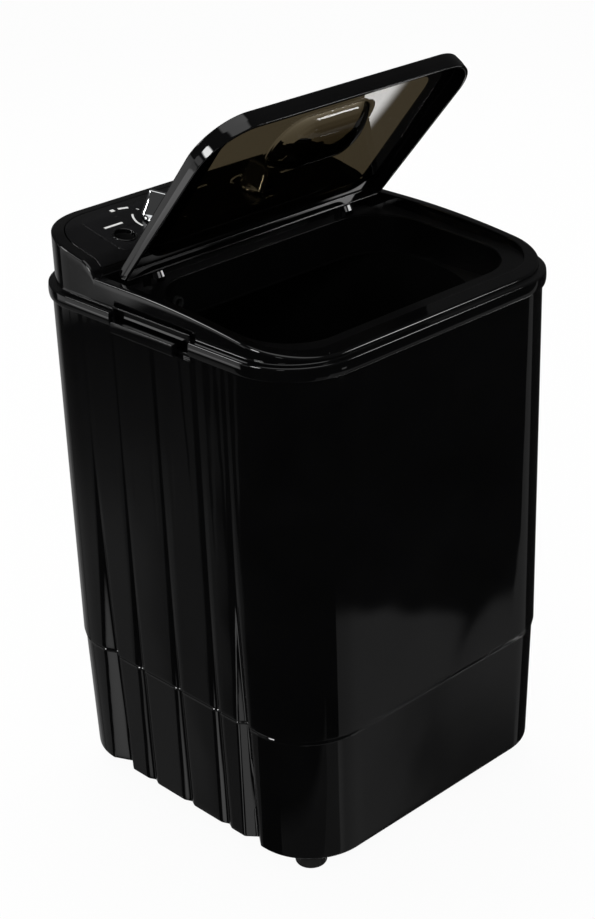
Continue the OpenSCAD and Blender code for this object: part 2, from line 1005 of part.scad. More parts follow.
module cabinet() {
    color("#0a0a0b")
        difference() {
            band(0, seam_z, ledge_z);
            cabinet_flutes(0);
            difference() {
                band(-wall, seam_z - over, ledge_z + over);
                cabinet_flutes(wall);
            }
            both_sides()
                handle_space(rim_z - handle_floor, ledge_z + over);
        }
}

// Tapered shell block of the base, shrunk by a wall
module base_block(shrink, low, high) {
    foot_w = base_foot_x - shrink;
    foot_d = base_foot_y - shrink;
    translate([0, 0, low])
        linear_extrude(high - low, scale = [(base_top_x - shrink) / foot_w, (base_top_y - shrink) / foot_d])
            rounded(2 * foot_w, 2 * foot_d, corner_r - seam_step - base_draft - shrink);
}

module base() {
    color("#0a0a0b") {
        difference() {
            base_block(0, ground_gap, seam_z);
            base_flutes(0);
            difference() {
                base_block(wall, floor_top, seam_z + over);
                base_flutes(wall);
            }
            rounded_span(service_half_w, service_front_y, service_back_y, service_r,
                         ground_gap - over, floor_top + over);
            back_hole(drain_x, drain_r + drain_skin + slot_gap);
            back_hole(-drain_x, gland_r);
            cover_holes(ground_gap - over, floor_t + 2 * over);
            four_places(foot_x, foot_y)
                translate([0, 0, ground_gap - over])
                    cylinder(r = screw_r, h = floor_t + 2 * over);
        }
        lap_lip();
        for (x = [-1, 1])
            for (y = [post_front_y, post_back_y])
                post(x * post_x, y, post_r, bracket_z);
        translate([0, tub_y, 0])
            four_places(tub_leg_x, tub_leg_y)
                post(0, 0, tub_leg_r - post_step, seam_z);
    }
}

// Round hole through the base's back
module back_hole(x, r) {
    translate([x, half_d, drain_z])
        rotate([90, 0, 0])
            cylinder(r = r, h = back_cut_l, center = true);
}

// Upright post on the base's floor, with a hole for its screw
module post(x, y, r, top) {
    translate([x, y, floor_top])
        difference() {
            cylinder(r = r, h = top - floor_top);
            translate([0, 0, top - floor_top - post_hole])
                cylinder(r = screw_r, h = post_hole + over);
        }
}

// Lip inside the cabinet's foot, with a shelf that ties it to the base
module lap_lip() {
    outer = wall + slot_gap;
    difference() {
        band(-outer, seam_z - lap_shelf, seam_z + lap_h);
        cabinet_flutes(outer);
        base_flutes(wall);
        difference() {
            band(-outer - wall, seam_z - lap_shelf - over, seam_z + lap_h + over);
            cabinet_flutes(outer + wall);
        }
    }
}

// Moulded pocket with its lip, let into the cabinet's side
module side_handle() {
    floor_z = rim_z - handle_floor + slot_gap;
    roof_z = rim_z + handle_roof - slot_gap;
    lip_top = ledge_z;
    lip_h = 11;
    lip_low = lip_top - lip_h;
    gap_floor = rim_z - over;
    back = handle_back - slot_gap;
    front = -handle_front + slot_gap;
    skin = 2;
    outer_x = -half_w;
    inner_x = outer_x + handle_depth - slot_gap;
    difference() {
        union() {
            translate([outer_x, front, floor_z])
                cube([inner_x - outer_x, back - front, roof_z - floor_z]);
            translate([outer_x - band_out, -lip_front, lip_low])
                cube([band_out + over, back + lip_front, lip_top - lip_low]);
        }
        translate([outer_x + wall, front + skin, floor_z + skin])
            cube([inner_x - outer_x - wall - skin, back - front - 2 * skin, roof_z - floor_z - 2 * skin]);
        translate([outer_x - band_out - over, front + skin, lip_top])
            cube([wall + band_out + 2 * over, back - front - 2 * skin, roof_z - skin - lip_top]);
        translate([outer_x - over, front + skin, gap_floor])
            cube([wall + 2 * over, -lip_front - front - skin, roof_z - skin - gap_floor]);
    }
}

module side_handle_left() {
    color("#09090a")
        side_handle();
}

module side_handle_right() {
    color("#09090a")
        mirror([1, 0, 0])
            side_handle();
}

module wash_tub() {
    leg_screw_h = tub_floor - seam_z + 2 * over;
    color("#121213")
        difference() {
            union() {
                rounded_span(half_w - handle_depth - flange_side, flange_front_y, flange_back_y, flange_r,
                             flange_z - flange_t, flange_z);
                translate([0, tub_y, tub_floor - tub_floor_t])
                    cylinder(r = tub_out, h = flange_z - tub_floor + tub_floor_t, $fn = 96);
                translate([0, tub_y, seam_z])
                    four_places(tub_leg_x, tub_leg_y)
                        cylinder(r = tub_leg_r, h = tub_floor - seam_z - over);
            }
            translate([0, tub_y, tub_floor])
                cylinder(r = tub_r, h = flange_z - flange_t - tub_floor, $fn = 96);
            intersection() {
                translate([0, tub_y, tub_floor])
                    cylinder(r = tub_r, h = flange_z, $fn = 96);
                well(0, tub_floor, flange_z + over);
            }
            frame_screw_places(flange_z - flange_t - over)
                cylinder(r = screw_r, h = flange_t + 2 * over);
            translate([0, tub_y, tub_floor - tub_floor_t - over])
                cylinder(r = housing_r + run_gap, h = tub_floor_t + 2 * over);
            translate([drain_port_x, drain_port_y, tub_floor - tub_floor_t - over])
                cylinder(r = drain_r, h = tub_floor_t + 2 * over);
            translate([0, tub_y, seam_z - over])
                four_places(tub_leg_x, tub_leg_y)
                    cylinder(r = screw_r, h = leg_screw_h);
        }
}

module pulsator() {
    color("#18181a")
        translate([0, tub_y, 0])
            difference() {
                union() {
                    translate([0, 0, dish_z])
                        cylinder(r = pulsator_r, h = dish_t);
                    translate([0, 0, dish_z])
                        cylinder(r = hub_r, h = hub_h);
                    for (i = [0:pulsator_ribs - 1])
                        rotate([0, 0, i * 360 / pulsator_ribs])
                            translate([hub_r - dish_t, 0, dish_z + dish_t])
                                rotate([90, 0, 90])
                                    linear_extrude(pulsator_r - hub_r)
                                        polygon([[-rib_half_foot, -over], [rib_half_foot, -over],
                                                 [rib_half_top, rib_h], [-rib_half_top, rib_h]]);
                }
                translate([0, 0, dish_z - over])
                    cylinder(r = shaft_r, h = shaft_top - dish_z + over);
                translate([0, 0, shaft_top - over])
                    cylinder(r = screw_r, h = hub_top - shaft_top + 2 * over);
            }
}

module pulsator_screw() {
    color("#c4c6c8")
        translate([0, tub_y, 0]) {
            translate([0, 0, shaft_top])
                cylinder(r = screw_r, h = hub_top - shaft_top);
            translate([0, 0, hub_top])
                cylinder(r = hub_screw_r, h = hub_screw_h);
        }
}

module drive_shaft() {
    color("#a9adb2")
        translate([0, tub_y, shaft_low])
            cylinder(r = shaft_r, h = shaft_top - shaft_low);
}

module bearing_housing() {
    color("#9ea2a6")
        translate([0, tub_y, 0])
            difference() {
                union() {
                    translate([0, 0, housing_low])
                        cylinder(r = housing_r, h = housing_h);
                    translate([0, 0, tub_floor - tub_floor_t - housing_flange_t])
                        cylinder(r = housing_flange_r, h = housing_flange_t);
                }
                translate([0, 0, housing_low - over])
                    cylinder(r = bearing_r, h = housing_h + 2 * over);
            }
}

module bearing(z) {
    translate([0, tub_y, z])
        difference() {
            cylinder(r = bearing_r, h = bearing_h);
            translate([0, 0, -over])
                cylinder(r = shaft_r + run_gap, h = bearing_h + 2 * over);
        }
}

module upper_bearing() {
    color("#b9bcc0")
        bearing(housing_top - seal_h - bearing_h);
}

module lower_bearing() {
    color("#b9bcc0")
        bearing(housing_low);
}

module shaft_seal() {
    color("#1c1c1c")
        translate([0, tub_y, housing_top - seal_h])
            difference() {
                cylinder(r = bearing_r, h = seal_h);
                translate([0, 0, -over])
                    cylinder(r = shaft_r + run_gap, h = seal_h + 2 * over);
            }
}

// Grooved pulley around the origin, its belt plane at z = 0
module pulley(r, bore) {
    root = belt_w / 2 - groove_taper;
    rotate_extrude()
        polygon([[bore, -pulley_h / 2], [r, -pulley_h / 2], [r, -pulley_h / 2 + pulley_lip],
                 [r - groove, -root], [r - groove, root],
                 [r, pulley_h / 2 - pulley_lip], [r, pulley_h / 2], [bore, pulley_h / 2]]);
}

module drive_pulley() {
    color("#7d8084")
        translate([0, tub_y, belt_z])
            pulley(pulley_r, shaft_r);
}

module shaft_nut() {
    color("#b9bcc0")
        translate([0, tub_y, shaft_low + nut_set])
            difference() {
                cylinder(r = nut_r, h = nut_h, $fn = 6);
                translate([0, 0, -over])
                    cylinder(r = shaft_r, h = nut_h + 2 * over);
            }
}

// Belt as a loop around both pulleys, made of two discs and the four-sided piece between their tangents
module belt_loop(big, small, h) {
    span = motor_y - tub_y;
    lean = asin((big - small) / span);
    translate([0, tub_y, belt_z - h / 2]) {
        cylinder(r = big, h = h);
        translate([0, span, 0])
            cylinder(r = small, h = h);
        linear_extrude(h)
            polygon([[big * cos(lean), big * sin(lean)],
                     [small * cos(lean), span + small * sin(lean)],
                     [-small * cos(lean), span + small * sin(lean)],
                     [-big * cos(lean), big * sin(lean)]]);
    }
}

module drive_belt() {
    inner_big = pulley_r - groove + belt_gap;
    inner_small = motor_pulley_r - groove + belt_gap;
    color("#161616")
        difference() {
            belt_loop(inner_big + belt_t, inner_small + belt_t, belt_w - belt_slack);
            belt_loop(inner_big, inner_small, belt_w);
        }
}

module motor() {
    lug_inner = motor_r - motor_drop;
    lug_outer = motor_r + motor_lug_l;
    color("#8c9094")
        translate([0, motor_y, 0])
            difference() {
                union() {
                    translate([0, 0, motor_top - motor_h])
                        cylinder(r = motor_r, h = motor_h);
                    motor_lug_turns()
                        translate([lug_inner, -motor_lug_w / 2, motor_top])
                            cube([lug_outer - lug_inner, motor_lug_w, motor_drop]);
                }
                translate([0, 0, motor_top - motor_h - over])
                    cylinder(r = motor_shaft_r + run_gap, h = motor_shaft_up + 2 * over);
                motor_screw_places(motor_top - over)
                    cylinder(r = screw_r, h = motor_drop + 2 * over);
            }
}

module motor_lug_turns() {
    for (turn = [45:90:315])
        rotate([0, 0, turn])
            children();
}

// The middles of the motor's four lugs, from its shaft
module motor_screw_places(z) {
    motor_lug_turns()
        translate([motor_r + motor_lug_l / 2, 0, z])
            children();
}

module motor_shaft() {
    top = motor_top - motor_h + motor_shaft_up;
    low = belt_z - pulley_h / 2 - nut_set;
    color("#a9adb2")
        translate([0, motor_y, low])
            cylinder(r = motor_shaft_r, h = top - low);
}

module motor_pulley() {
    color("#7d8084")
        translate([0, motor_y, belt_z])
            pulley(motor_pulley_r, motor_shaft_r);
}

module motor_bracket() {
    color("#6f7377")
        difference() {
            rounded_span(post_x + bracket_rim, post_front_y - bracket_rim, post_back_y + bracket_rim,
                         bracket_r, bracket_z, bracket_z + bracket_t);
            for (x = [-1, 1])
                for (y = [post_front_y, post_back_y])
                    translate([x * post_x, y, bracket_z - over])
                        cylinder(r = screw_r, h = bracket_t + 2 * over);
            translate([0, motor_y, 0])
                motor_screw_places(bracket_z - over)
                    cylinder(r = screw_r, h = bracket_t + 2 * over);
            translate([drain_port_x, drain_port_y, bracket_z - over])
                cylinder(r = drain_r + drain_skin + lid_gap, h = bracket_t + 2 * over);
        }
}

// Screw pointing down, its head's seat at the origin
module screw(length) {
    cylinder(r = screw_head_r, h = screw_head_h);
    translate([0, 0, -length])
        cylinder(r = screw_r, h = length);
}

module motor_screws() {
    color("#c4c6c8")
        translate([0, motor_y, 0])
            motor_screw_places(bracket_z + bracket_t)
                screw(bracket_t + motor_drop);
}

module bracket_screws() {
    color("#c4c6c8")
        for (x = [-1, 1])
            for (y = [post_front_y, post_back_y])
                translate([x * post_x, y, bracket_z + bracket_t])
                    screw(bracket_t + bracket_screw_end);
}

module tub_screws() {
    color("#c4c6c8")
        translate([0, tub_y, tub_floor - over])
            four_places(tub_leg_x, tub_leg_y)
                screw(tub_floor - seam_z + tub_screw_end);
}

// Screws up through the tub's flange into the frame's collar
module frame_screws() {
    color("#c4c6c8")
        frame_screw_places(flange_z - flange_t)
            mirror([0, 0, 1])
                screw(flange_t + frame_screw_l);
}

module bottom_cover() {
    color("#1a1a1b")
        difference() {
            rounded_span(service_half_w + cover_rim, service_front_y - cover_rim,
                         service_back_y + cover_rim, service_r + over,
                         ground_gap - cover_t, ground_gap);
            cover_holes(ground_gap - cover_t - over, cover_t + 2 * over);
            for (i = [-3:3])
                translate([i * vent_pitch - vent_w / 2, service_y - vent_l, ground_gap - cover_t - over])
                    cube([vent_w, vent_l, cover_t + 2 * over]);
        }
}

// The places, seen from above, of the cover's four screws
module cover_places() {
    for (x = [-1, 1])
        for (y = [service_front_y + cover_screw_set, service_back_y - cover_screw_set])
            translate([x * (service_half_w + cover_rim / 2), y, 0])
                children();
}

module cover_holes(z, h) {
    cover_places()
        translate([0, 0, z])
            cylinder(r = screw_r, h = h);
}

module bottom_cover_screws() {
    color("#c4c6c8")
        cover_places()
            translate([0, 0, ground_gap - cover_t])
                mirror([0, 0, 1])
                    screw(cover_t + floor_t);
}

// Lies along Y on the floor, in its clip
module capacitor() {
    color("#d9d9d6")
        translate([-capacitor_x, capacitor_y, floor_top + capacitor_r + clip_t])
            rotate([-90, 0, 0])
                cylinder(r = capacitor_r, h = capacitor_l);
}

module capacitor_clip() {
    color("#a9adb2")
        translate([-capacitor_x, clip_y, floor_top + capacitor_r + clip_t])
            difference() {
                union() {
                    rotate([-90, 0, 0])
                        cylinder(r = capacitor_r + clip_t, h = clip_w);
                    translate([0, 0, -capacitor_r - clip_t])
                        cube([capacitor_r + clip_foot, clip_w, clip_t]);
                }
                translate([0, -over, 0])
                    rotate([-90, 0, 0])
                        cylinder(r = capacitor_r, h = clip_w + 2 * over);
            }
}

module terminal_block() {
    color("#ece9df")
        translate([-harness_x - terminal_w / 2, harness_y - terminal_d / 2, floor_top])
            difference() {
                cube([terminal_w, terminal_d, terminal_h]);
                for (x = [-1, 1])
                    translate([(terminal_w + x * terminal_pitch) / 2, terminal_d / 2, terminal_h / 2])
                        cylinder(r = screw_r, h = terminal_h);
            }
}

// One branch of the wiring, ending square on a mechanism's rear face
module harness_branch(x, rear) {
    on_dial(x)
        translate([0, rear, -bundle_drop])
            rotate([-90, 0, 0])
                cylinder(r = branch_r, h = bundle_back - rear - over);
}

// Bundle of wires from the terminal block up to the mechanisms, with a taped splice at each turn
module wiring_harness() {
    color("#303033") {
        translate([-harness_x, harness_y, floor_top + terminal_h])
            cylinder(r = bundle_r, h = harness_z - floor_top - terminal_h);
        for (x = [-harness_x, -dial_x, dial_x])
            translate([x, harness_y, harness_z])
                cube(splice, center = true);
        translate([-harness_x, harness_y, harness_z])
            rotate([0, 90, 0])
                cylinder(r = bundle_r, h = harness_x + dial_x);
        harness_branch(-dial_x, timer_d / 2);
        harness_branch(dial_x, switch_d / 2);
    }
}

// Gland where the power lead enters; its bore is open to both sides
module cord_gland() {
    // The base's back leans, so this is where its outer face stands at the gland's height
    back_y = half_d - seam_step - base_draft * (seam_z - drain_z) / (seam_z - ground_gap);
    length = wall + 2 * gland_end;
    color("#151515")
        translate([-drain_x, back_y - wall - gland_end, drain_z])
            rotate([-90, 0, 0])
                difference() {
                    union() {
                        cylinder(r = gland_r, h = length);
                        translate([0, 0, wall + gland_end + slot_gap])
                            cylinder(r = gland_r + gland_flange, h = gland_end - 2);
                    }
                    translate([0, 0, -over])
                        cylinder(r = gland_bore_r, h = length + 2 * over);
                }
}

// Elbow pipe from the tub's floor out through the base's rear wall
module drain_pipe() {
    color("#2a2a2c")
        difference() {
            drain_run(drain_r + drain_skin, tub_floor - tub_floor_t, half_d + band_out);
            drain_run(drain_r, tub_floor, half_d + band_out + over);
            translate([drain_x, half_d + band_out - socket_l, drain_z])
                rotate([-90, 0, 0])
                    cylinder(r = drain_r + socket_step, h = socket_l + over);
        }
}

// Solid run of the drain: down from the tub's floor, across and out to the back
module drain_run(r, top, back) {
    translate([drain_port_x, drain_port_y, drain_z]) {
        cylinder(r = r, h = top - drain_z);
        sphere(r = r);
        rotate([0, 90, 0])
            cylinder(r = r, h = drain_x - drain_port_x);
    }
    translate([drain_x, drain_port_y, drain_z]) {
        sphere(r = r);
        rotate([-90, 0, 0])
            cylinder(r = r, h = back - drain_port_y);
    }
}

// Round rubber foot with a sunk hole for its screw
module foot(x, y) {
    color("#121212")
        translate([x * foot_x, y * foot_y, 0])
            difference() {
                union() {
                    cylinder(r = foot_r, h = ground_gap - foot_step);
                    translate([0, 0, ground_gap - foot_step - over])
                        cylinder(r = foot_r - 2, h = foot_step + over);
                }
                translate([0, 0, -over])
                    cylinder(r = screw_head_r + hole_gap, h = foot_sink + over);
                cylinder(r = screw_r, h = ground_gap + over);
            }
}

module foot_front_left() {
    foot(-1, -1);
}

module foot_front_right() {
    foot(1, -1);
}

module foot_rear_left() {
    foot(-1, 1);
}

module foot_rear_right() {
    foot(1, 1);
}

module foot_screws() {
    color("#c4c6c8")
        four_places(foot_x, foot_y)
            translate([0, 0, foot_sink])
                mirror([0, 0, 1])
                    screw(floor_top - foot_sink);
}

top_frame();
control_panel();
dial_plate();
wash_timer_knob();
selector_knob();
wash_timer();
timer_shaft();
selector_switch();
selector_shaft();
water_inlet();
lid_frame();
lid_window();
hinge_pin_left();
hinge_pin_right();
cabinet();
base();
side_handle_left();
side_handle_right();
wash_tub();
pulsator();
pulsator_screw();
drive_shaft();
bearing_housing();
upper_bearing();
lower_bearing();
shaft_seal();
drive_pulley();
shaft_nut();
drive_belt();
motor();
motor_shaft();
motor_pulley();
motor_bracket();
motor_screws();
bracket_screws();
tub_screws();
frame_screws();
bottom_cover();
bottom_cover_screws();
capacitor();
capacitor_clip();
terminal_block();
wiring_harness();
cord_gland();
drain_pipe();
foot_front_left();
foot_front_right();
foot_rear_left();
foot_rear_right();
foot_screws();
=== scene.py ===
"""A small top-loading washing machine with its lid open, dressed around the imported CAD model."""
import math
from functools import partial

import bmesh
import bpy
from mathutils import Matrix, Vector


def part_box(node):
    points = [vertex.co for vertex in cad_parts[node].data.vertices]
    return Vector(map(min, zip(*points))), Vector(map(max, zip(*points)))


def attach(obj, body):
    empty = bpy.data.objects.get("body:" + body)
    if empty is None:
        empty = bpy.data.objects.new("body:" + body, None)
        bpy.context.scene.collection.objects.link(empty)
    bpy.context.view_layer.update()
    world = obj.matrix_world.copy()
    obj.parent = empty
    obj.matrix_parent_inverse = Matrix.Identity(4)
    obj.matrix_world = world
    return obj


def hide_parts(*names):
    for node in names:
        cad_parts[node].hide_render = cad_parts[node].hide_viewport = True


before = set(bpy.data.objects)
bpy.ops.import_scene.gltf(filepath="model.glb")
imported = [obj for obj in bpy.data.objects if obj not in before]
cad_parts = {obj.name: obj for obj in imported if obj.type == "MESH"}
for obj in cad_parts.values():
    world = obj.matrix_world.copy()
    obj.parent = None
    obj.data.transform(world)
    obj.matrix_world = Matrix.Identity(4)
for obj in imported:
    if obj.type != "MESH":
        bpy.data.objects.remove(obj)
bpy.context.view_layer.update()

# Shapes are worked out in millimetres and scaled to metres when a mesh is made
MM = 0.001
# Points of a mesh that are closer than this, in metres, become one
WELD = 0.000002
# Edges that turn by more than this stay sharp
SHARP_ANGLE = math.radians(50)


def box_mm(node):
    low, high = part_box(node)
    return low / MM, high / MM


# Body sizes, from the frame
CABINET_LOW, CABINET_HIGH = box_mm("cabinet")
BASE_LOW, BASE_HIGH = box_mm("base")
BAND_HALF = box_mm("top_frame")[1].x
HALF = CABINET_HIGH.x
SEAM_Z = CABINET_LOW.z
FOOT_Z = BASE_LOW.z
CORNER = 64
WALL = 2.5
BASE_TOP_HALF = BASE_HIGH.x
BASE_FOOT_HALF = BASE_TOP_HALF - 2.6
BASE_CORNER = CORNER - 2
BASE_FLOOR = FOOT_Z + 3
RIM_Z = 500
CABINET_TOP = RIM_Z + 4
BAND_TOP = RIM_Z + 13
SKIRT_HALF = HALF - 3.5
SKIRT_CORNER = CORNER - 3.5

# Service opening in the base's floor: half width, front, back and corner radius
SERVICE_OPENING = (68, -95, 127, 12)

# Rim and console profile, seen from the side
CROWN_Y = 30
RIM_BACK_Z = RIM_Z + 36
RIM_FRONT_Z = RIM_Z + 17
CONSOLE_Y = 77
CONSOLE_RISE = 25.5
FLAT_FRONT_Y = 90
FLAT_BACK_Y = 140

# Lid, measured from its hinge pin
LID_SIDE_GAP = 2.5
HINGE_Y = 57.7
HINGE_Z = RIM_Z + 31.4
LUG_X = 120
EAR_APART = 7.9
EYE_R = 4.5
LID_HALF = 161
LID_LENGTH = 206
LID_CORNER = 46
LID_OPEN = 50.8
LID_REAR = -6
LID_FRONT = LID_REAR - LID_LENGTH
LID_TOP = 7
SKIRT_DEPTH_REAR = 11
SKIRT_DEPTH_FRONT = 16.5
LID_SKIN = 3
BORDER = 24
SIDE_FLANGE = 11
SHEET = 2.2
SHEET_TOP = LID_TOP - SHEET
WINDOW_HALF = LID_HALF - BORDER
WINDOW_FRONT = LID_FRONT + BORDER
WINDOW_BACK = LID_REAR - BORDER + 6
WINDOW_CORNER = 24

# Lid seat and well
SEAT_HALF = LID_HALF + LID_SIDE_GAP
SEAT_FRONT = HINGE_Y + LID_FRONT - LID_SIDE_GAP
SEAT_CORNER = LID_CORNER + LID_SIDE_GAP
WELL_HALF = 150
WELL_FRONT = -143
WELL_BACK = 42
WELL_CORNER = 52
TROUGH_FRONT = WELL_BACK + WALL + 1.5
TROUGH_BACK = CONSOLE_Y - WALL
TROUGH_Z = RIM_Z + 18
FLANGE_Z = RIM_Z - 11
BAY_RIM = 12
BAY_HALF = SKIRT_HALF - BAY_RIM
BAY_CORNER = SKIRT_CORNER - BAY_RIM

# Grip cup in the lid's window
CUP_HALF_WIDTH = 62
CUP_HALF_LENGTH = 33
CUP_DEPTH = 21
CUP_Y = LID_FRONT + 64
CUP_END = 30
# Share of the solid's width that the cup keeps at its mouth, and what it loses further down
CUP_MOUTH_SHARE = 0.91
CUP_TAPER = 0.1

# Console cover, dial plate, dials and water inlet
DIAL_X = 60.5
DIAL_Y = 115.5
INLET_X = -111
INLET_Y = 106
INLET_R = 9.8
COVER_FRONT = CONSOLE_Y + 2.4
COVER_HALF = BAY_HALF - 0.4
PLATE_HALF = 130.7
PLATE_FRONT = FLAT_FRONT_Y - 4.7
PLATE_BACK = FLAT_BACK_Y + 8.7
PLATE_CORNER = 8

# Printed marks round the dials: heights over the plate, inner and outer radii, and a tick's width
PRINT_LOW, PRINT_TOP = 0.16, 0.36
ARC_RADII = (24.5, 26.5)
TICK_RADII = (21.5, 24.5)
TICK_WIDTH = 0.9

# Side handles
HANDLE_BACK = 50
HANDLE_FRONT = -53
HANDLE_LIP_FRONT = -33
HANDLE_ROOF = RIM_Z + 18.5
HANDLE_LIP_LOW = RIM_Z - 6
HANDLE_LIP_TOP = RIM_Z + 5
HANDLE_DEPTH = 18
POCKET_FLOOR = RIM_Z - 19

# Pulsator in the tub
TUB_Y = -22
FINS = 5
FIN_HEIGHT = 13

# Steps around a rounded outline: along each side, along each end, round each corner
STEPS = (150, 24, 20)
LID_STEPS = (48, 60, 24)


def console_curve(y):
    """Height of the console's rounded top at a distance behind the middle."""
    share = (SKIRT_HALF - y) / (SKIRT_HALF - CONSOLE_Y)
    return RIM_BACK_Z + CONSOLE_RISE * math.sqrt(max(0, 1 - share * share))


def console_top(y):
    """The console's height with its flat zone under the dials."""
    if y < FLAT_FRONT_Y or y > FLAT_BACK_Y:
        return console_curve(y)
    front, back = console_curve(FLAT_FRONT_Y), console_curve(FLAT_BACK_Y)
    return front + (back - front) * (y - FLAT_FRONT_Y) / (FLAT_BACK_Y - FLAT_FRONT_Y)


def frame_top(y):
    """Height of the top frame's upper edge, which falls towards the front."""
    if y >= CONSOLE_Y:
        return console_top(y)
    if y > CROWN_Y:
        return RIM_BACK_Z
    share = (CROWN_Y - y) / (CROWN_Y + SKIRT_HALF)
    return RIM_BACK_Z - (RIM_BACK_Z - RIM_FRONT_Z) * share * share


FLAT_RISE = console_curve(FLAT_BACK_Y) - console_curve(FLAT_FRONT_Y)
DIAL_TILT = math.atan2(FLAT_RISE, FLAT_BACK_Y - FLAT_FRONT_Y)
CLOSED_SLOPE = math.radians(1)
LIP_FALL = (SKIRT_DEPTH_FRONT - SKIRT_DEPTH_REAR) / LID_LENGTH + math.tan(CLOSED_SLOPE)
SEAT_GAP = 0.5


def seat_z(y):
    """Height of the ledge under the closed lid's lip."""
    return HINGE_Z + LID_TOP - SKIRT_DEPTH_REAR - SEAT_GAP - LIP_FALL * (HINGE_Y + LID_REAR - y)


# Camera
CAMERA_AZIMUTH = math.radians(-43.59)
CAMERA_ELEVATION = math.radians(27.66)
CAMERA_ROLL = math.radians(-1.94)
CAMERA_DISTANCE = 1.92679
CAMERA_TARGET = Vector((0, 0, 0.25))
CAMERA_LENS = 77.78
CAMERA_SENSOR = 36
CAMERA_SHIFT = (-0.00853, 0.0735)


def add_object(name, data):
    obj = bpy.data.objects.new(name, data)
    bpy.context.scene.collection.objects.link(obj)
    return obj


def make_camera():
    data = bpy.data.cameras.new("camera")
    camera = add_object("camera", data)
    turn = (Matrix.Rotation(CAMERA_AZIMUTH, 4, "Z") @ Matrix.Rotation(math.pi / 2 - CAMERA_ELEVATION, 4, "X")
            @ Matrix.Rotation(CAMERA_ROLL, 4, "Z"))
    camera.matrix_world = (Matrix.Translation(CAMERA_TARGET) @ turn
                           @ Matrix.Translation((0, 0, CAMERA_DISTANCE)))
    data.lens = CAMERA_LENS
    data.sensor_width = CAMERA_SENSOR
    data.shift_x, data.shift_y = CAMERA_SHIFT
    data.dof.use_dof = False
    bpy.context.scene.camera = camera


# Node tools for materials

def feed(tree, node, sockets):
    """Sets a node's inputs, by a link from another node's output or by a plain value."""
    for key, value in sockets.items():
        if isinstance(value, bpy.types.NodeSocket):
            tree.links.new(value, node.inputs[key])
        else:
            node.inputs[key].default_value = value


def add_node(tree, kind, sockets=None, **settings):
    node = tree.nodes.new("ShaderNode" + kind)
    for key, value in settings.items():
        setattr(node, key, value)
    feed(tree, node, sockets or {})
    return node


def calculate(tree, operation, *terms):
    """One step of arithmetic on outputs and numbers."""
    return add_node(tree, "Math", dict(enumerate(terms)), operation=operation).outputs["Value"]


def map_range(tree, value, low, high, start=0, end=1, **settings):
    """Carries a value from one range over to another."""
    sockets = {"Value": value, "From Min": low, "From Max": high, "To Min": start, "To Max": end}
    return add_node(tree, "MapRange", sockets, **settings).outputs["Result"]


def object_place(tree):
    return add_node(tree, "TexCoord").outputs["Object"]


def add_noise(tree, scale, detail, roughness=0.5, distortion=0):
    """Noise in the object's own space, from 0 to 1."""
    sockets = {"Vector": object_place(tree), "Scale": scale, "Detail": detail, "Roughness": roughness,
               "Distortion": distortion}
    return add_node(tree, "TexNoise", sockets).outputs["Fac"]


def mix_shaders(tree, share, first, second):
    """Shows the first shader where the share is 0 and the second where it is 1."""
    sockets = {0: share, 1: first.outputs[0], 2: second.outputs[0]}
    return add_node(tree, "MixShader", sockets).outputs[0]


def new_group(name, inputs, output, output_kind):
    """Starts a node group with one output. An input that is a tuple is a colour."""
    group = bpy.data.node_groups.new(name, "ShaderNodeTree")
    for label, value in inputs.items():
        kind = "NodeSocketColor" if isinstance(value, tuple) else "NodeSocketFloat"
        group.interface.new_socket(label, in_out="INPUT", socket_type=kind).default_value = value
    group.interface.new_socket(output, in_out="OUTPUT", socket_type=output_kind)
    entry = group.nodes.new("NodeGroupInput").outputs
    return group, entry, group.nodes.new("NodeGroupOutput").inputs[output]


def place_group(tree, group, sockets=None):
    return add_node(tree, "Group", sockets, node_tree=group).outputs[0]


def new_material(name, empty=False):
    material = bpy.data.materials.new(name)
    material.use_nodes = True
    if empty:
        material.node_tree.nodes.clear()
    return material, material.node_tree


def make_smudge_group():
    """Soft patches that dull a gloss, as a mask from 0 to 1."""
    group, entry, out = new_group("smudges", {"Scale": 6, "Amount": 1}, "Mask", "NodeSocketFloat")
    patches = map_range(group, add_noise(group, entry["Scale"], 4, 0.55, 0.6), 0.48, 0.72)
    mottled = calculate(group, "MULTIPLY", patches, add_noise(group, 220, 2))
    group.links.new(calculate(group, "MULTIPLY", mottled, entry["Amount"]), out)
    return group


def make_ripple_group():
    """Slow waves and fine orange peel of moulded gloss, as a normal."""
    inputs = {"Wave": 0.3, "Grain": 0.05, "Grain Scale": 900}
    group, entry, out = new_group("moulding_ripple", inputs, "Normal", "NodeSocketVector")
    waves = add_node(group, "Bump", {
        "Height": add_noise(group, 9, 1), "Strength": entry["Wave"], "Distance": 0.002})
    peel = add_node(group, "Bump", {
        "Height": add_noise(group, entry["Grain Scale"], 2), "Strength": entry["Grain"], "Distance": 0.0001,
        "Normal": waves.outputs["Normal"]})
    group.links.new(peel.outputs["Normal"], out)
    return group


def make_drift_group():
    """A slight change of colour from place to place."""
    inputs = {"Color": (0.5, 0.5, 0.5, 1), "Worn": (0.6, 0.6, 0.6, 1), "Scale": 14}
    group, entry, out = new_group("colour_drift", inputs, "Color", "NodeSocketColor")
    share = map_range(group, add_noise(group, entry["Scale"], 5, 0.6), 0.35, 0.75)
    mix = add_node(group, "Mix", data_type="RGBA")
    feed(group, mix, {"Factor": share, 6: entry["Color"], 7: entry["Worn"]})
    group.links.new(mix.outputs[2], out)
    return group


SMUDGES = make_smudge_group()
RIPPLE = make_ripple_group()
DRIFT = make_drift_group()


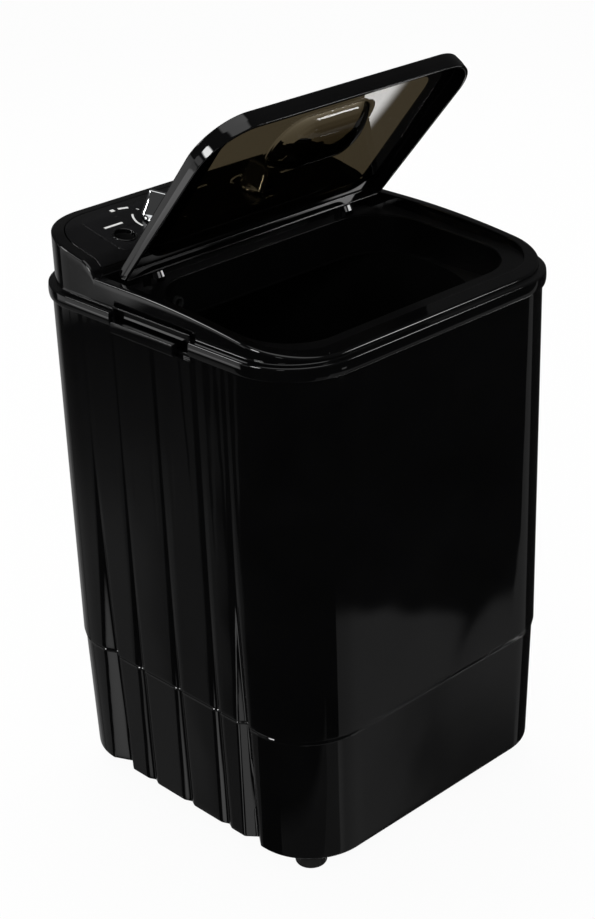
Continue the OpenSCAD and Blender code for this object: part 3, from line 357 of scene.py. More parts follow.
def make_finish(name, color, worn, roughness, dulled, metallic=0, wave=0.2, grain=0.05, grain_scale=900,
                specular=0.5):
    """A finish with drifting colour, patches of duller gloss, slow ripple and fine grain."""
    material, tree = new_material(name)
    feed(tree, tree.nodes["Principled BSDF"], {
        "Base Color": place_group(tree, DRIFT, {"Color": (*color, 1), "Worn": (*worn, 1)}),
        "Roughness": map_range(tree, place_group(tree, SMUDGES), 0, 1, roughness, dulled),
        "Normal": place_group(tree, RIPPLE, {"Wave": wave, "Grain": grain, "Grain Scale": grain_scale}),
        "Metallic": metallic, "Specular IOR Level": specular})
    return material


SHELL = make_finish("shell_gloss", (0.0013, 0.0013, 0.0014), (0.0026, 0.0026, 0.0028), 0.025, 0.1, wave=0.22,
                    grain=0.02)
SATIN = make_finish("inside_satin", (0.0016, 0.0016, 0.0017), (0.003, 0.003, 0.0032), 0.34, 0.46, wave=0.05,
                    specular=0.22)
PANEL = make_finish("panel_gloss", (0.002, 0.002, 0.0022), (0.004, 0.004, 0.0045), 0.1, 0.24, wave=0.05)
PLATE = make_finish("plate_gloss", (0.003, 0.003, 0.0035), (0.005, 0.005, 0.0055), 0.14, 0.26, wave=0.02)
TUB = make_finish("tub_black", (0.002, 0.002, 0.002), (0.004, 0.004, 0.004), 0.3, 0.45, wave=0.1)
DARK = make_finish("plain_black", (0.012, 0.012, 0.012), (0.02, 0.02, 0.02), 0.4, 0.6, grain=0.3)
RUBBER = make_finish("foot_rubber", (0.012, 0.012, 0.012), (0.025, 0.024, 0.022), 0.55, 0.75, grain=0.5,
                     grain_scale=2400)
CHROME = make_finish("knob_chrome", (0.78, 0.79, 0.8), (0.7, 0.71, 0.72), 0.04, 0.14, metallic=1,
                     grain=0.8, grain_scale=150)
STEEL = make_finish("turned_steel", (0.5, 0.5, 0.51), (0.38, 0.38, 0.39), 0.25, 0.45, metallic=1, grain=0.3)
ALLOY = make_finish("cast_alloy", (0.45, 0.46, 0.47), (0.35, 0.36, 0.37), 0.4, 0.6, metallic=1, grain=0.6,
                    grain_scale=500)
COATED = make_finish("coated_steel", (0.16, 0.17, 0.18), (0.11, 0.115, 0.12), 0.45, 0.6, grain=0.4)
IVORY = make_finish("ivory_plastic", (0.68, 0.65, 0.56), (0.6, 0.56, 0.47), 0.4, 0.55, grain=0.2)
PRINT = make_finish("print_white", (0.75, 0.75, 0.74), (0.62, 0.62, 0.6), 0.35, 0.5, wave=0)


def make_smoky():
    """Brown smoked plastic of the lid's window, darker where the path through it is longer."""
    material, tree = new_material("smoky_window")
    tint = {"Color": (0.98, 0.98, 0.97, 1), "Worn": (0.94, 0.94, 0.93, 1), "Scale": 5}
    dulling = place_group(tree, SMUDGES, {"Scale": 9})
    feed(tree, tree.nodes["Principled BSDF"], {
        "Base Color": place_group(tree, DRIFT, tint),
        "Roughness": map_range(tree, dulling, 0, 1, 0, 0.05),
        "Normal": place_group(tree, RIPPLE, {"Wave": 0.02, "Grain": 0}),
        "Transmission Weight": 1, "IOR": 1.49})
    depth = add_node(tree, "VolumeAbsorption", {"Color": (0.28, 0.22, 0.085, 1), "Density": 1400})
    feed(tree, tree.nodes["Material Output"], {"Volume": depth.outputs[0]})
    return material


SMOKY = make_smoky()


# Mesh tools

def outline(half, front, back, front_r, back_r=None, back_half=None, steps=STEPS):
    """Closed ring of (x, y) points, anticlockwise, with round corners and evenly stepped sides.

    The back is like the front where it isn't given corners or a half width of its own.
    """
    back_r = front_r if back_r is None else back_r
    back_half = half if back_half is None else back_half
    side_steps, end_steps, corner_steps = steps
    arcs = [
        (half - front_r, front + front_r, front_r, -90),
        (back_half - back_r, back - back_r, back_r, 0),
        (back_r - back_half, back - back_r, back_r, 90),
        (front_r - half, front + front_r, front_r, 180)]
    corners = [[(x + across, y + up) for across, up in arc(r, start, start + 90, corner_steps)]
               for x, y, r, start in arcs]
    points = []
    for index, corner in enumerate(corners):
        points += corner
        (ax, ay), (bx, by) = corner[-1], corners[(index + 1) % 4][0]
        count = end_steps if index % 2 else side_steps
        for step in range(1, count):
            points.append((ax + (bx - ax) * step / count, ay + (by - ay) * step / count))
    return points


def square_outline(half, corner, inset=0):
    edge = half - inset
    return outline(edge, -edge, edge, max(corner - inset, 0.4))


def arc(radius, start, end, steps):
    """Points of an arc about the origin, in (across, up)."""
    turns = [math.radians(start + (end - start) * step / steps) for step in range(steps + 1)]
    return [(radius * math.cos(turn), radius * math.sin(turn)) for turn in turns]


def at(ring, height, rise=0):
    """Flat points as 3-D points at a height, which is a number or a function of y."""
    if callable(height):
        return [(x, y, height(y) + rise) for x, y in ring]
    return [(x, y, height + rise) for x, y in ring]


def round_edge(ring_at, inset, height, rise, radius, start, end, steps):
    """Rows of an arc about a centre at an inset from the outline and a rise over the height."""
    return [at(ring_at(inset + across), height, rise + up) for across, up in arc(radius, start, end, steps)]


def blend_rings(outer, inner, share):
    return [(ax + (bx - ax) * share, ay + (by - ay) * share) for (ax, ay), (bx, by) in zip(outer, inner)]


def blend_rows(outer, inner, shares, height):
    """Rows across the face between two rings."""
    return [at(blend_rings(outer, inner, share), height) for share in shares]


def spread(low, high, count):
    return [low + (high - low) * i / (count - 1) for i in range(count)]


class Shell:
    """Collects faces from lofted rows and turns them into one object."""

    def __init__(self):
        self.points = []
        self.faces = []

    def loft(self, rows, closed=True, looped=False, capped=False):
        """Joins rows of equally many points with four-sided faces."""
        numbered = []
        for row in rows:
            numbered.append(range(len(self.points), len(self.points) + len(row)))
            self.points.extend(row)
        pairs = list(zip(numbered, numbered[1:]))
        if looped:
            pairs.append((numbered[-1], numbered[0]))
        for lower, upper in pairs:
            count = len(lower)
            for i in range(count if closed else count - 1):
                j = (i + 1) % count
                self.faces.append((lower[i], lower[j], upper[j], upper[i]))
        if capped:
            self.faces.append(tuple(reversed(numbered[0])))
            self.faces.append(tuple(numbered[-1]))

    def make(self, name, material, place=None):
        mesh = bpy.data.meshes.new(name)
        mesh.from_pydata([Vector(point) * MM for point in self.points], [], self.faces)
        work = bmesh.new()
        work.from_mesh(mesh)
        bmesh.ops.remove_doubles(work, verts=work.verts, dist=WELD)
        bmesh.ops.recalc_face_normals(work, faces=work.faces)
        work.to_mesh(mesh)
        work.free()
        mesh.materials.append(material)
        obj = add_object(name, mesh)
        if place is not None:
            mesh.transform(place)
        smooth(obj)
        return obj


def loft_object(name, material, rows, place=None, **how):
    """One object from one loft."""
    shell = Shell()
    shell.loft(rows, **how)
    return shell.make(name, material, place)


def smooth(obj):
    """Shades smoothly, and keeps flat faces flat beside rounded edges."""
    mesh = obj.data
    mesh.polygons.foreach_set("use_smooth", [True] * len(mesh.polygons))
    mesh.set_sharp_from_angle(angle=SHARP_ANGLE)
    obj.modifiers.new("even_normals", "WEIGHTED_NORMAL").keep_sharp = True


def cut(obj, cutters):
    """Takes the cutters' space out of an object."""
    obj.modifiers.clear()
    for cutter in cutters:
        modifier = obj.modifiers.new("cut", "BOOLEAN")
        modifier.object = cutter
        modifier.solver = "EXACT"
    bpy.context.view_layer.update()
    graph = bpy.context.evaluated_depsgraph_get()
    result = bpy.data.meshes.new_from_object(obj.evaluated_get(graph))
    obj.modifiers.clear()
    obj.data = result
    for cutter in cutters:
        bpy.data.objects.remove(cutter, do_unlink=True)
    smooth(obj)


def turned(profile, steps=96, x=0, y=0, z=0):
    """Rows of a profile of (radius, height) points that is turned about an upright axis."""
    return [[(x + across, y + up, z + height) for across, up in arc(radius, 0, 360, steps)[:-1]]
            for radius, height in profile]


def dress(obj, body, slot, *nodes):
    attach(obj, body)
    if nodes:
        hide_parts(*nodes)


# Flutes down both sides: middle, depth at the foot, half width per depth in front and behind
FLUTES = (
    (91.5, 9, 1.35, 2.1),
    (49, 3.5, 2, 2.2),
    (-4.5, 3.5, 2, 2.2),
    (-58, 3.5, 2, 2.2),
    (-93.5, 9, 1.35, 1.2))
FLUTE_TOP_Z = 410
FLUTE_TIP_Z = FLUTE_TOP_Z + 10
SEAM_SHARE = 0.72
# Further depth of the fluting on the inner face, which keeps the wall from getting thin
INNER_FLUTE = 0.4
# Round of a flute's edges: at the foot, and above the seam from low to high
FOOT_CREASE = 0.35
WALL_CREASES = (0.5, 2)


def flute_share(z):
    """How much of its foot depth a flute keeps at a height."""
    if z <= SEAM_Z:
        return 1 - (1 - SEAM_SHARE) * (z - FOOT_Z) / (SEAM_Z - FOOT_Z)
    return SEAM_SHARE * max(0, (FLUTE_TOP_Z - z) / (FLUTE_TOP_Z - SEAM_Z)) ** 1.6


def soft_positive(value, blur):
    return (value + math.sqrt(value * value + blur * blur)) / 2


def flute_depth(y, z):
    """Depth of the fluting under the side's flat face."""
    share = flute_share(z)
    low, high = WALL_CREASES
    crease = FOOT_CREASE if z <= SEAM_Z else low + (high - low) * (z - SEAM_Z) / (FLUTE_TOP_Z - SEAM_Z)
    blur = crease * 0.6
    total = 0
    for middle, deep, front_run, back_run in FLUTES:
        offset = y - middle
        run = back_run if offset > 0 else front_run
        depth = deep * share - math.sqrt(offset * offset + crease * crease) / run
        if depth > -4 * crease:
            total += soft_positive(depth, blur) - soft_positive(-deep * share - 4, blur)
    return total


def fluted_ring(half, corner, z, inset=0, extra=0):
    """Ring of 3-D points round the body at a height, with its fluted sides."""
    ring = []
    for x, y in square_outline(half, corner, inset):
        if abs(y) < half - corner and abs(x) > half / 2:
            x -= math.copysign(flute_depth(y, z) + extra, x)
        ring.append((x, y, z))
    return ring


def notch_cutters(near, far, low, high):
    """Boxes for both handles' notches, between two distances from the middle and two heights."""
    cutters = []
    for side in (-1, 1):
        left, right = sorted((side * near, side * far))
        ring = [(left, HANDLE_FRONT), (right, HANDLE_FRONT), (right, HANDLE_BACK), (left, HANDLE_BACK)]
        cutters.append(loft_object("cutter", SHELL, [at(ring, low), at(ring, high)], capped=True))
    return cutters


def make_cabinet():
    """Outer wall from the seam up, with its flutes and a notch for each handle."""
    edge_r = 0.8
    rows = [fluted_ring(HALF, CORNER, SEAM_Z + edge_r + up, edge_r + across)
            for across, up in arc(edge_r, 270, 180, 4)]
    for z in spread(SEAM_Z + 4, FLUTE_TOP_Z, 46) + spread(FLUTE_TIP_Z, CABINET_TOP, 8):
        rows.append(fluted_ring(HALF, CORNER, z))
    for z in (CABINET_TOP, FLUTE_TOP_Z, SEAM_Z):
        rows.append(fluted_ring(HALF, CORNER, z, WALL, INNER_FLUTE))
    cabinet = loft_object("cabinet_shell", SHELL, rows, looped=True)
    cut(cabinet, notch_cutters(HALF - 6, HALF + 5, HANDLE_LIP_LOW, RIM_Z + 9))
    dress(cabinet, "body", "shell_black", "cabinet")


def base_half(z):
    return BASE_FOOT_HALF + (BASE_TOP_HALF - BASE_FOOT_HALF) * (z - FOOT_Z) / (SEAM_Z - FOOT_Z)


def base_ring(z, inset=0, extra=0, draft_z=None):
    """Ring of the base at a height, as wide as its drafted wall is there or at draft_z."""
    return fluted_ring(base_half(z if draft_z is None else draft_z), BASE_CORNER, z, inset, extra)


def make_base():
    """Lower shell: rounded foot, fluted wall, bead under the seam and floor with its opening."""
    foot_r, top_r, bead_r = 2.5, 1, 1
    bead_z = SEAM_Z - 3.2
    opening = outline(*SERVICE_OPENING)
    rows = [at(opening, FOOT_Z)]
    for across, up in arc(foot_r, 270, 180, 6):
        rows.append(base_ring(FOOT_Z + foot_r + up, foot_r + across, draft_z=FOOT_Z))
    rows += [base_ring(z) for z in spread(FOOT_Z + 5, SEAM_Z - 6, 24) + [SEAM_Z - 5.2, SEAM_Z - 4.6]]
    for across, up in arc(bead_r, -70, 70, 6):
        rows.append(base_ring(bead_z + 1.5 * up, 0.1 - across, draft_z=SEAM_Z))
    for across, up in arc(top_r, 180, 90, 4):
        rows.append(base_ring(SEAM_Z - top_r + up, top_r + across, draft_z=SEAM_Z))
    rows += [base_ring(z, WALL, INNER_FLUTE) for z in (SEAM_Z, BASE_FLOOR)]
    rows.append(at(opening, BASE_FLOOR))
    dress(loft_object("base_shell", SHELL, rows, looped=True), "body", "shell_black", "base")


def frame_inner_ring(inset=0):
    """Inner edge of the frame's rim, round the lid's seat and the cover."""
    back = BAY_HALF - inset
    ring = []
    for x, y in outline(SEAT_HALF - inset, SEAT_FRONT + inset, back, SEAT_CORNER - inset, BAY_CORNER - inset,
                        back):
        if abs(y) < BAY_HALF - BAY_CORNER:
            x = math.copysign((SEAT_HALF if y < CONSOLE_Y - 2 else BAY_HALF) - inset, x)
        ring.append((x, y))
    return ring


def inner_foot(y):
    """Lower edge of the rim's inner face, hidden under the seat and the trough."""
    return min(frame_top(y) - 4, seat_z(y) - 3 if y < TROUGH_FRONT else TROUGH_Z - 3)


def make_top_frame():
    """Rim band and the skirt up to the console, with the parts inside the rim in their own finish."""
    low_r, high_r, edge_r, inner_r = 1.6, 1.8, 2.4, 1.3
    inner_z, skirt_z = RIM_Z + 8, BAND_TOP + 1.2
    skirt = partial(square_outline, SKIRT_HALF, SKIRT_CORNER)
    band_low = partial(square_outline, BAND_HALF - 0.5, CORNER + 3)
    band_high = partial(square_outline, BAND_HALF - 0.4, CORNER + 3)
    rows = [at(square_outline(HALF + 0.3, CORNER), z) for z in (inner_z, RIM_Z + 0.2)]
    rows += round_edge(band_low, low_r, RIM_Z, low_r, low_r, 270, 180, 5)
    for rise, inset in ((3.4, 0.12), (6, 0), (8.6, 0.1)):
        rows.append(at(square_outline(BAND_HALF, CORNER + 3.5, inset), RIM_Z + rise))
    rows += round_edge(band_high, high_r, BAND_TOP, -high_r, high_r, 180, 90, 5)
    rows.append(at(skirt(-0.9), BAND_TOP + 0.25))
    for share in (0, 0.06, 0.2, 0.4, 0.6, 0.8, 1):
        rows.append(at(skirt(), lambda y: skirt_z + (frame_top(y) - edge_r - skirt_z) * share))
    rows += round_edge(skirt, edge_r, frame_top, -edge_r, edge_r, 180, 90, 7)[1:]
    rows += blend_rows(skirt(edge_r + 0.3), frame_inner_ring(-inner_r - 0.3), spread(0, 1, 5), frame_top)
    rows += round_edge(frame_inner_ring, -inner_r, frame_top, -inner_r, inner_r, 90, 0, 5)[1:]
    rows += [at(frame_inner_ring(), inner_foot), at(frame_inner_ring(-1.5), inner_z)]
    top = loft_object("top_frame_shell", SHELL, rows, looped=True)
    cut(top, notch_cutters(SKIRT_HALF - 1.2, HALF + 8, RIM_Z - 4, HANDLE_ROOF))
    inside = Shell()
    add_seat(inside)
    add_trough(inside)
    for side in (-1, 1):
        for across in (-1, 1):
            add_hinge_ear(inside, side * (LUG_X + across * EAR_APART))
    dress(inside.make("frame_inside", SATIN), "body", "shell_black")
    dress(top, "body", "shell_black", "top_frame")


def well_ring(inset=0):
    return outline(WELL_HALF - inset, WELL_FRONT + inset, WELL_BACK - inset * 0.8, WELL_CORNER - inset)


def add_seat(shell):
    """Ledge that the closed lid rests on, turning down into the well's collar."""
    well_r = 1.4
    under_z = TROUGH_Z - 3
    seat, seat_in = (outline(SEAT_HALF + grow, SEAT_FRONT - grow, back, SEAT_CORNER + grow, 1.5)
                     for grow, back in ((1, TROUGH_FRONT), (0.2, TROUGH_FRONT - 0.8)))
    rows = [at(seat, under_z), at(seat, seat_z, -0.8), at(seat_in, seat_z)]
    rows += blend_rows(seat_in, well_ring(-well_r), (0.05, 0.3, 0.6, 0.95), seat_z)
    rows += round_edge(well_ring, -well_r, seat_z, -well_r, well_r, 90, 0, 8)
    rows += [at(well_ring(), FLANGE_Z + 8), at(well_ring(), FLANGE_Z)]
    rows += [at(well_ring(-WALL), FLANGE_Z), at(well_ring(-WALL), under_z)]
    shell.loft(rows, looped=True)


def add_trough(shell):
    """Channel for the hinges, its step down from the seat and the console's front wall."""
    edge_r, floor_r = 0.4, 0.6
    step_z = seat_z(TROUGH_FRONT)
    under_z = TROUGH_Z - 2.5
    profile = [(TROUGH_FRONT - 3, under_z), (TROUGH_FRONT - 3, step_z - 1)]
    for y, z, radius, start, end, steps in (
            (TROUGH_FRONT - edge_r, step_z - 0.6, edge_r, 90, 0, 4),
            (TROUGH_FRONT + floor_r, TROUGH_Z + floor_r, floor_r, 180, 270, 5),
            (TROUGH_BACK - floor_r, TROUGH_Z + floor_r, floor_r, 270, 360, 5),
            (TROUGH_BACK + edge_r, RIM_BACK_Z - edge_r, edge_r, 180, 90, 4)):
        profile += [(y + across, z + up) for across, up in arc(radius, start, end, steps)]
    profile += [(y, frame_top(y)) for y in spread(CONSOLE_Y - 0.6, CONSOLE_Y + 2, 5)]
    profile.append((CONSOLE_Y + 2, under_z))
    half = SEAT_HALF + 1
    shell.loft([[(x, y, z) for y, z in profile] for x in (-half, half)], capped=True)


def add_hinge_ear(shell, x):
    """Upright ear that holds a hinge pin."""
    profile = [(HINGE_Y + across, HINGE_Z + up) for across, up in arc(EYE_R, 0, 180, 16)]
    profile = [(HINGE_Y + EYE_R, TROUGH_Z - 1)] + profile + [(HINGE_Y - EYE_R, TROUGH_Z - 1)]
    rows = []
    for inset, shift in ((0.5, -1.5), (0, -1), (0, 1), (0.5, 1.5)):
        share = 1 - inset / EYE_R
        rows.append([(x + shift, HINGE_Y + (y - HINGE_Y) * share, z - (inset if z > HINGE_Z else 0))
                     for y, z in profile])
    shell.loft(rows, capped=True)


def slope_matrix(x, y):
    """Puts a shape from the origin square on the console's flat zone, in metres."""
    return Matrix.Translation(Vector((x, y, console_top(y))) * MM) @ Matrix.Rotation(DIAL_TILT, 4, "X")


def make_cover(name, material, ring_at, insets, lift, depth, edge_r, edge_drop):
    """Sheet on the console's curve, rounded at its edge, with the water inlet's hole."""
    rows = [at(ring_at(0), console_top, lift - edge_drop)]
    rows += round_edge(ring_at, edge_r, console_top, lift - edge_r, edge_r, 180, 90, 4)
    rows += [at(ring_at(inset), console_top, lift) for inset in insets]
    rows += [at(ring_at(inset), console_top, -depth) for inset in reversed(insets)]
    cover = loft_object(name, material, rows, looped=True)
    hole = turned([(INLET_R, -10), (INLET_R, 10)], 48)
    cut(cover, [loft_object("cutter", SHELL, hole, slope_matrix(INLET_X, INLET_Y), capped=True)])
    return cover


def panel_ring(inset):
    half = COVER_HALF - inset
    return outline(half, COVER_FRONT + inset, half, 2 + inset * 0.2, max(BAY_CORNER - inset, 3),
                   steps=(90, 60, 14))


def make_panel():
    insets = (1.2, 2, 3, 4.5, 6.5, 9, 12, 16, 20, 24, 28, 32, 36, 39.5)
    panel = make_cover("console_cover", PANEL, panel_ring, insets, 0, 3, 0.6, 3)
    dress(panel, "body", "shell_black", "control_panel")


def plate_ring(inset):
    return outline(PLATE_HALF - inset, PLATE_FRONT + inset, PLATE_BACK - inset,
                   max(PLATE_CORNER - inset, 0.5), steps=(60, 60, 10))


def make_plate():
    insets = (1, 3, 6, 10, 15, 20, 25, 29, 31.2)
    plate = make_cover("dial_plate_sheet", PLATE, plate_ring, insets, 0.3, 0.5, 0.3, 0.8)
    dress(plate, "body", "plate_black", "dial_plate")


def make_inlet_ring():
    """Rolled lip round the water inlet's hole in the plate."""
    lip_r = INLET_R + 0.9
    profile = [(lip_r + 1.1 * across, 0.2 + up) for across, up in arc(1, 200, -20, 12)]
    rows = turned(profile + [(lip_r, -0.4)], 72)
    lip = loft_object("inlet_lip", SHELL, rows, slope_matrix(INLET_X, INLET_Y), looped=True)
    dress(lip, "body", "plate_black")


# Knob, from low to high: (radius, height) of its skirt, and (height, half width, half length) of its grip bar
KNOB_SKIRT = ((0.01, 0.9), (16.2, 0.9), (17, 1.3), (17, 2.6), (16.4, 3.6), (15, 4.2), (12.5, 4.6),
              (9, 4.9), (0.01, 5))
KNOB_BAR = ((3.5, 10.6, 16), (6, 9.4, 15.8), (10, 7.5, 15.2), (15, 5.3, 14.4), (20, 3.6, 13.6),
            (23, 2.8, 13), (24.4, 2.2, 12.5), (25, 1.2, 11.6))
KNOB_BAR_END_R = 4.2


def make_knob(name, x, turn, body, node):
    """Chromed knob: a dished skirt with a tapering grip bar across it."""
    shell = Shell()
    shell.loft(turned(KNOB_SKIRT), capped=True)
    rows = []
    for height, half_width, half_length in KNOB_BAR:
        end = min(half_width, KNOB_BAR_END_R)
        rows.append(at(outline(half_width, -half_length, half_length, end, steps=(10, 2, 8)), height))
    shell.loft(rows, capped=True)
    place = slope_matrix(x, DIAL_Y) @ Matrix.Rotation(math.radians(turn), 4, "Z")
    dress(shell.make(name, CHROME, place), body, "chromed", node)


def printed_arc(name, x, start, end):
    """A printed line round a dial, as a thin raised strip."""
    inner, outer = ARC_RADII
    rows = [at(arc(radius, start, end, int((end - start) / 3)), z)
            for radius, z in ((inner, PRINT_LOW), (inner, PRINT_TOP), (outer, PRINT_TOP), (outer, PRINT_LOW))]
    return loft_object(name, PRINT, rows, slope_matrix(x, DIAL_Y), closed=False, looped=True)


def printed_bar(name, start, end, width):
    """A printed stroke on the dial plate between two places."""
    a, b = Vector(start), Vector(end)
    along = (b - a).normalized()
    across = Vector((-along.y, along.x)) * (width / 2)
    corners = [(point.x, (point.y - DIAL_Y) / math.cos(DIAL_TILT))
               for point in (a - across, b - across, b + across, a + across)]
    rows = [at(corners, z) for z in (PRINT_LOW, PRINT_TOP)]
    return loft_object(name, PRINT, rows, slope_matrix(0, DIAL_Y), capped=True)


def printed_tick(name, dial_x, degrees):
    turn = math.radians(degrees)
    ends = [(dial_x + r * math.cos(turn), DIAL_Y + r * math.sin(turn)) for r in TICK_RADII]
    return printed_bar(name, *ends, TICK_WIDTH)


# Plain strokes on the dial plate: both ends and the width
STROKES = (
    ((-94, 146), (-89.5, 146), 3.6), ((-85, 146), (-75, 143.5), 2.6), ((-119, 124.5), (-98, 124.5), 2.6),
    ((75, 146), (93, 146), 2.6), ((100, 124.5), (119, 124.5), 2.6), ((-20, 142), (20, 142), 2))


def make_print():
    """Plain marks on the dial plate: arcs, ticks and short strokes."""
    marks = [printed_arc("timer_arc", -DIAL_X, 139, 191)]
    marks += [printed_tick(f"timer_tick_{i}", -DIAL_X, 205 - 46 * i) for i in (0, 2, 3, 4, 5)]
    marks.append(printed_arc("selector_arc", DIAL_X, 45, 135))
    marks += [printed_tick(f"selector_tick_{i}", DIAL_X, 45 + 45 * i) for i in range(3)]
    marks += [printed_bar(f"stroke_{i}", *stroke) for i, stroke in enumerate(STROKES)]
    for mark in marks:
        dress(mark, "body", "plate_black")


# Lid, modelled flat about its hinge pin and then turned up
LID_PLACE = (Matrix.Translation(Vector((0, HINGE_Y, HINGE_Z)) * MM)
             @ Matrix.Rotation(math.radians(-LID_OPEN), 4, "X"))


def lid_ring(inset):
    """Outline of the lid, with round front corners and tight rear ones."""
    return outline(LID_HALF - inset, LID_FRONT + inset, LID_REAR - inset, max(LID_CORNER - inset, 1),
                   max(3 - inset, 0.5), steps=LID_STEPS)


def window_ring(grow, side_flange=0):
    """Outline of the window, or of the part of it that a flange leaves free at the sides."""
    return outline(WINDOW_HALF - side_flange + grow, WINDOW_FRONT - grow, WINDOW_BACK + grow,
                   WINDOW_CORNER + grow, steps=LID_STEPS)


# Inner edge of the rim's flange, which covers the sides of the window's sheet
flange_ring = partial(window_ring, side_flange=SIDE_FLANGE)


def lip_z(y):
    """Height of the skirt's lower edge, which is deeper at the front."""
    share = (LID_REAR - y) / LID_LENGTH
    return LID_TOP - SKIRT_DEPTH_REAR - (SKIRT_DEPTH_FRONT - SKIRT_DEPTH_REAR) * share


def make_lid_frame():
    """Black rim of the lid: border, drafted skirt with a rounded lip, and hinge lugs."""
    edge_r, lip_r, inner_r, draft = 1.6, 0.8, 1.5, 0.9
    edge_z = LID_TOP - edge_r
    rows = [at(flange_ring(0), z) for z in (SHEET_TOP, LID_TOP - 0.5)]
    rows.append(at(flange_ring(0.5), LID_TOP))
    rows += blend_rows(flange_ring(0.8), lid_ring(draft + edge_r + 0.3), (0, 0.33, 0.67, 1), LID_TOP)
    rows += round_edge(lid_ring, draft + edge_r, edge_z, 0, edge_r, 90, 180, 6)
    for share, inset in ((0.05, 0.82), (0.25, 0.42), (0.46, 0.05), (0.52, 0), (0.75, 0), (0.95, 0)):
        rows.append(at(lid_ring(inset), lambda y: edge_z + (lip_z(y) + lip_r - edge_z) * share))
    rows += round_edge(lid_ring, lip_r, lip_z, lip_r, lip_r, 180, 270, 4)
    rows += round_edge(lid_ring, LID_SKIN - lip_r, lip_z, lip_r, lip_r, -90, 0, 4)
    rows.append(at(lid_ring(LID_SKIN), lip_z, 2 * lip_r))
    rows += round_edge(lid_ring, LID_SKIN + inner_r, SHEET_TOP, -inner_r, inner_r, 180, 90, 4)
    rows += blend_rows(lid_ring(LID_SKIN + inner_r + 0.3), flange_ring(0.3), (0, 0.5, 1), SHEET_TOP)
    shell = Shell()
    shell.loft(rows, looped=True)
    for side in (-1, 1):
        add_lid_lug(shell, side * LUG_X)
    dress(shell.make("lid_rim", SHELL, LID_PLACE), "lid", "shell_black", "lid_frame")


def add_lid_lug(shell, x):
    """Hinge eye under the lid's rear edge, with its web and a flat front face."""
    lean = math.radians(24)
    reach, half_face, half_width, edge = 6, 6.5, 6, 0.7
    rise, run = math.sin(lean), math.cos(lean)
    face = [(along * rise - reach * run, -reach * rise - along * run) for along in (-half_face, half_face)]
    profile = arc(EYE_R, -75, 90, 14) + [(LID_REAR - 1, EYE_R)] + face
    rows = []
    for inset, shift in (
            (edge, -half_width), (0, edge - half_width), (0, half_width - edge), (edge, half_width)):
        share = 1 - inset / reach
        rows.append([(x + shift, y * share, z * share) for y, z in profile])
    shell.loft(rows, capped=True)


def cup_ring(turn, shrink=0):
    """Ring round the grip cup at a turn from its mouth (0) to its bottom (90 degrees)."""
    spine = CUP_HALF_WIDTH - CUP_END
    window_half_length = (WINDOW_BACK - WINDOW_FRONT) / 2
    diagonal = math.sqrt(0.5)
    reach = math.cos(turn)
    taper = CUP_MOUTH_SHARE - CUP_TAPER * math.sin(min(3 * turn, math.pi / 2))
    ring = []
    for x, y in window_ring(0):
        angle = math.atan2((y - CUP_Y) / window_half_length, x / WINDOW_HALF)
        rise, run = math.sin(angle), math.cos(angle)
        if abs(rise) > diagonal:
            along = run / abs(rise) * spine
            round_turn = math.copysign(math.pi / 2, rise)
        else:
            along = math.copysign(spine, run)
            bend = math.asin(max(-1, min(1, rise / diagonal)))
            round_turn = bend if run > 0 else math.pi - bend
        end = (CUP_END - shrink) * math.cos(round_turn) * reach
        ring.append((taper * (along * (0.6 + 0.4 * reach) + end),
                     CUP_Y + (CUP_HALF_LENGTH - shrink) * math.sin(round_turn) * reach))
    return ring


def window_skin(level, mouth_grow, throat, wall, fall, first_depth, last_depth):
    """Rows of one face of the window's sheet, from its edge down to the cup's bottom."""
    mouth = cup_ring(0, -mouth_grow)
    rows = blend_rows(window_ring(3.6), mouth, (0, 0.1, 0.3, 0.5, 0.7, 0.85, 0.95, 1), level)
    for share in (0.35, 0.7):
        rows.append(at(blend_rings(mouth, cup_ring(0, throat), share), level - fall * share))
    for degrees in (1, 3, 7, 12, 20, 30, 40, 50, 60, 68, 75, 80, 84, 87, 89, 90):
        turn = math.radians(degrees)
        depth = first_depth + (last_depth - first_depth) * math.sin(turn)
        rows.append(at(cup_ring(turn, wall), SHEET_TOP - depth))
    return rows


def make_window():
    """Smoky sheet with the grip cup moulded into it, as one closed skin."""
    upper = window_skin(SHEET_TOP, 2, 0.3, 1.3, 0.7, 1, CUP_DEPTH - 3.2)
    lower = window_skin(SHEET_TOP - SHEET, 2.5, 0, 0, 0.8, SHEET + 0.9, CUP_DEPTH)
    shell = Shell()
    shell.loft(upper)
    shell.loft(lower)
    shell.loft([upper[0], lower[0]])
    dress(shell.make("lid_window_sheet", SMOKY, LID_PLACE), "lid", "smoky", "lid_window")


def add_cuboid(shell, side, x_out, x_in, front, back, low, high, edge=0.5):
    """Round-edged block of a side handle, between two distances from the middle."""
    half, middle, corner = (x_out - x_in) / 2, (x_out + x_in) / 2, edge * 0.9
    profile = [(edge + across, low + edge + up) for across, up in arc(edge, 270, 180, 3)]
    profile += [(edge + across, high - edge + up) for across, up in arc(edge, 180, 90, 3)]
    rows = []
    for inset, z in profile:
        ring = outline(half - inset, front + inset, back - inset, corner, steps=(12, 2, 4))
        rows.append([(side * (middle + x), y, z) for x, y in ring])
    shell.loft(rows, capped=True)


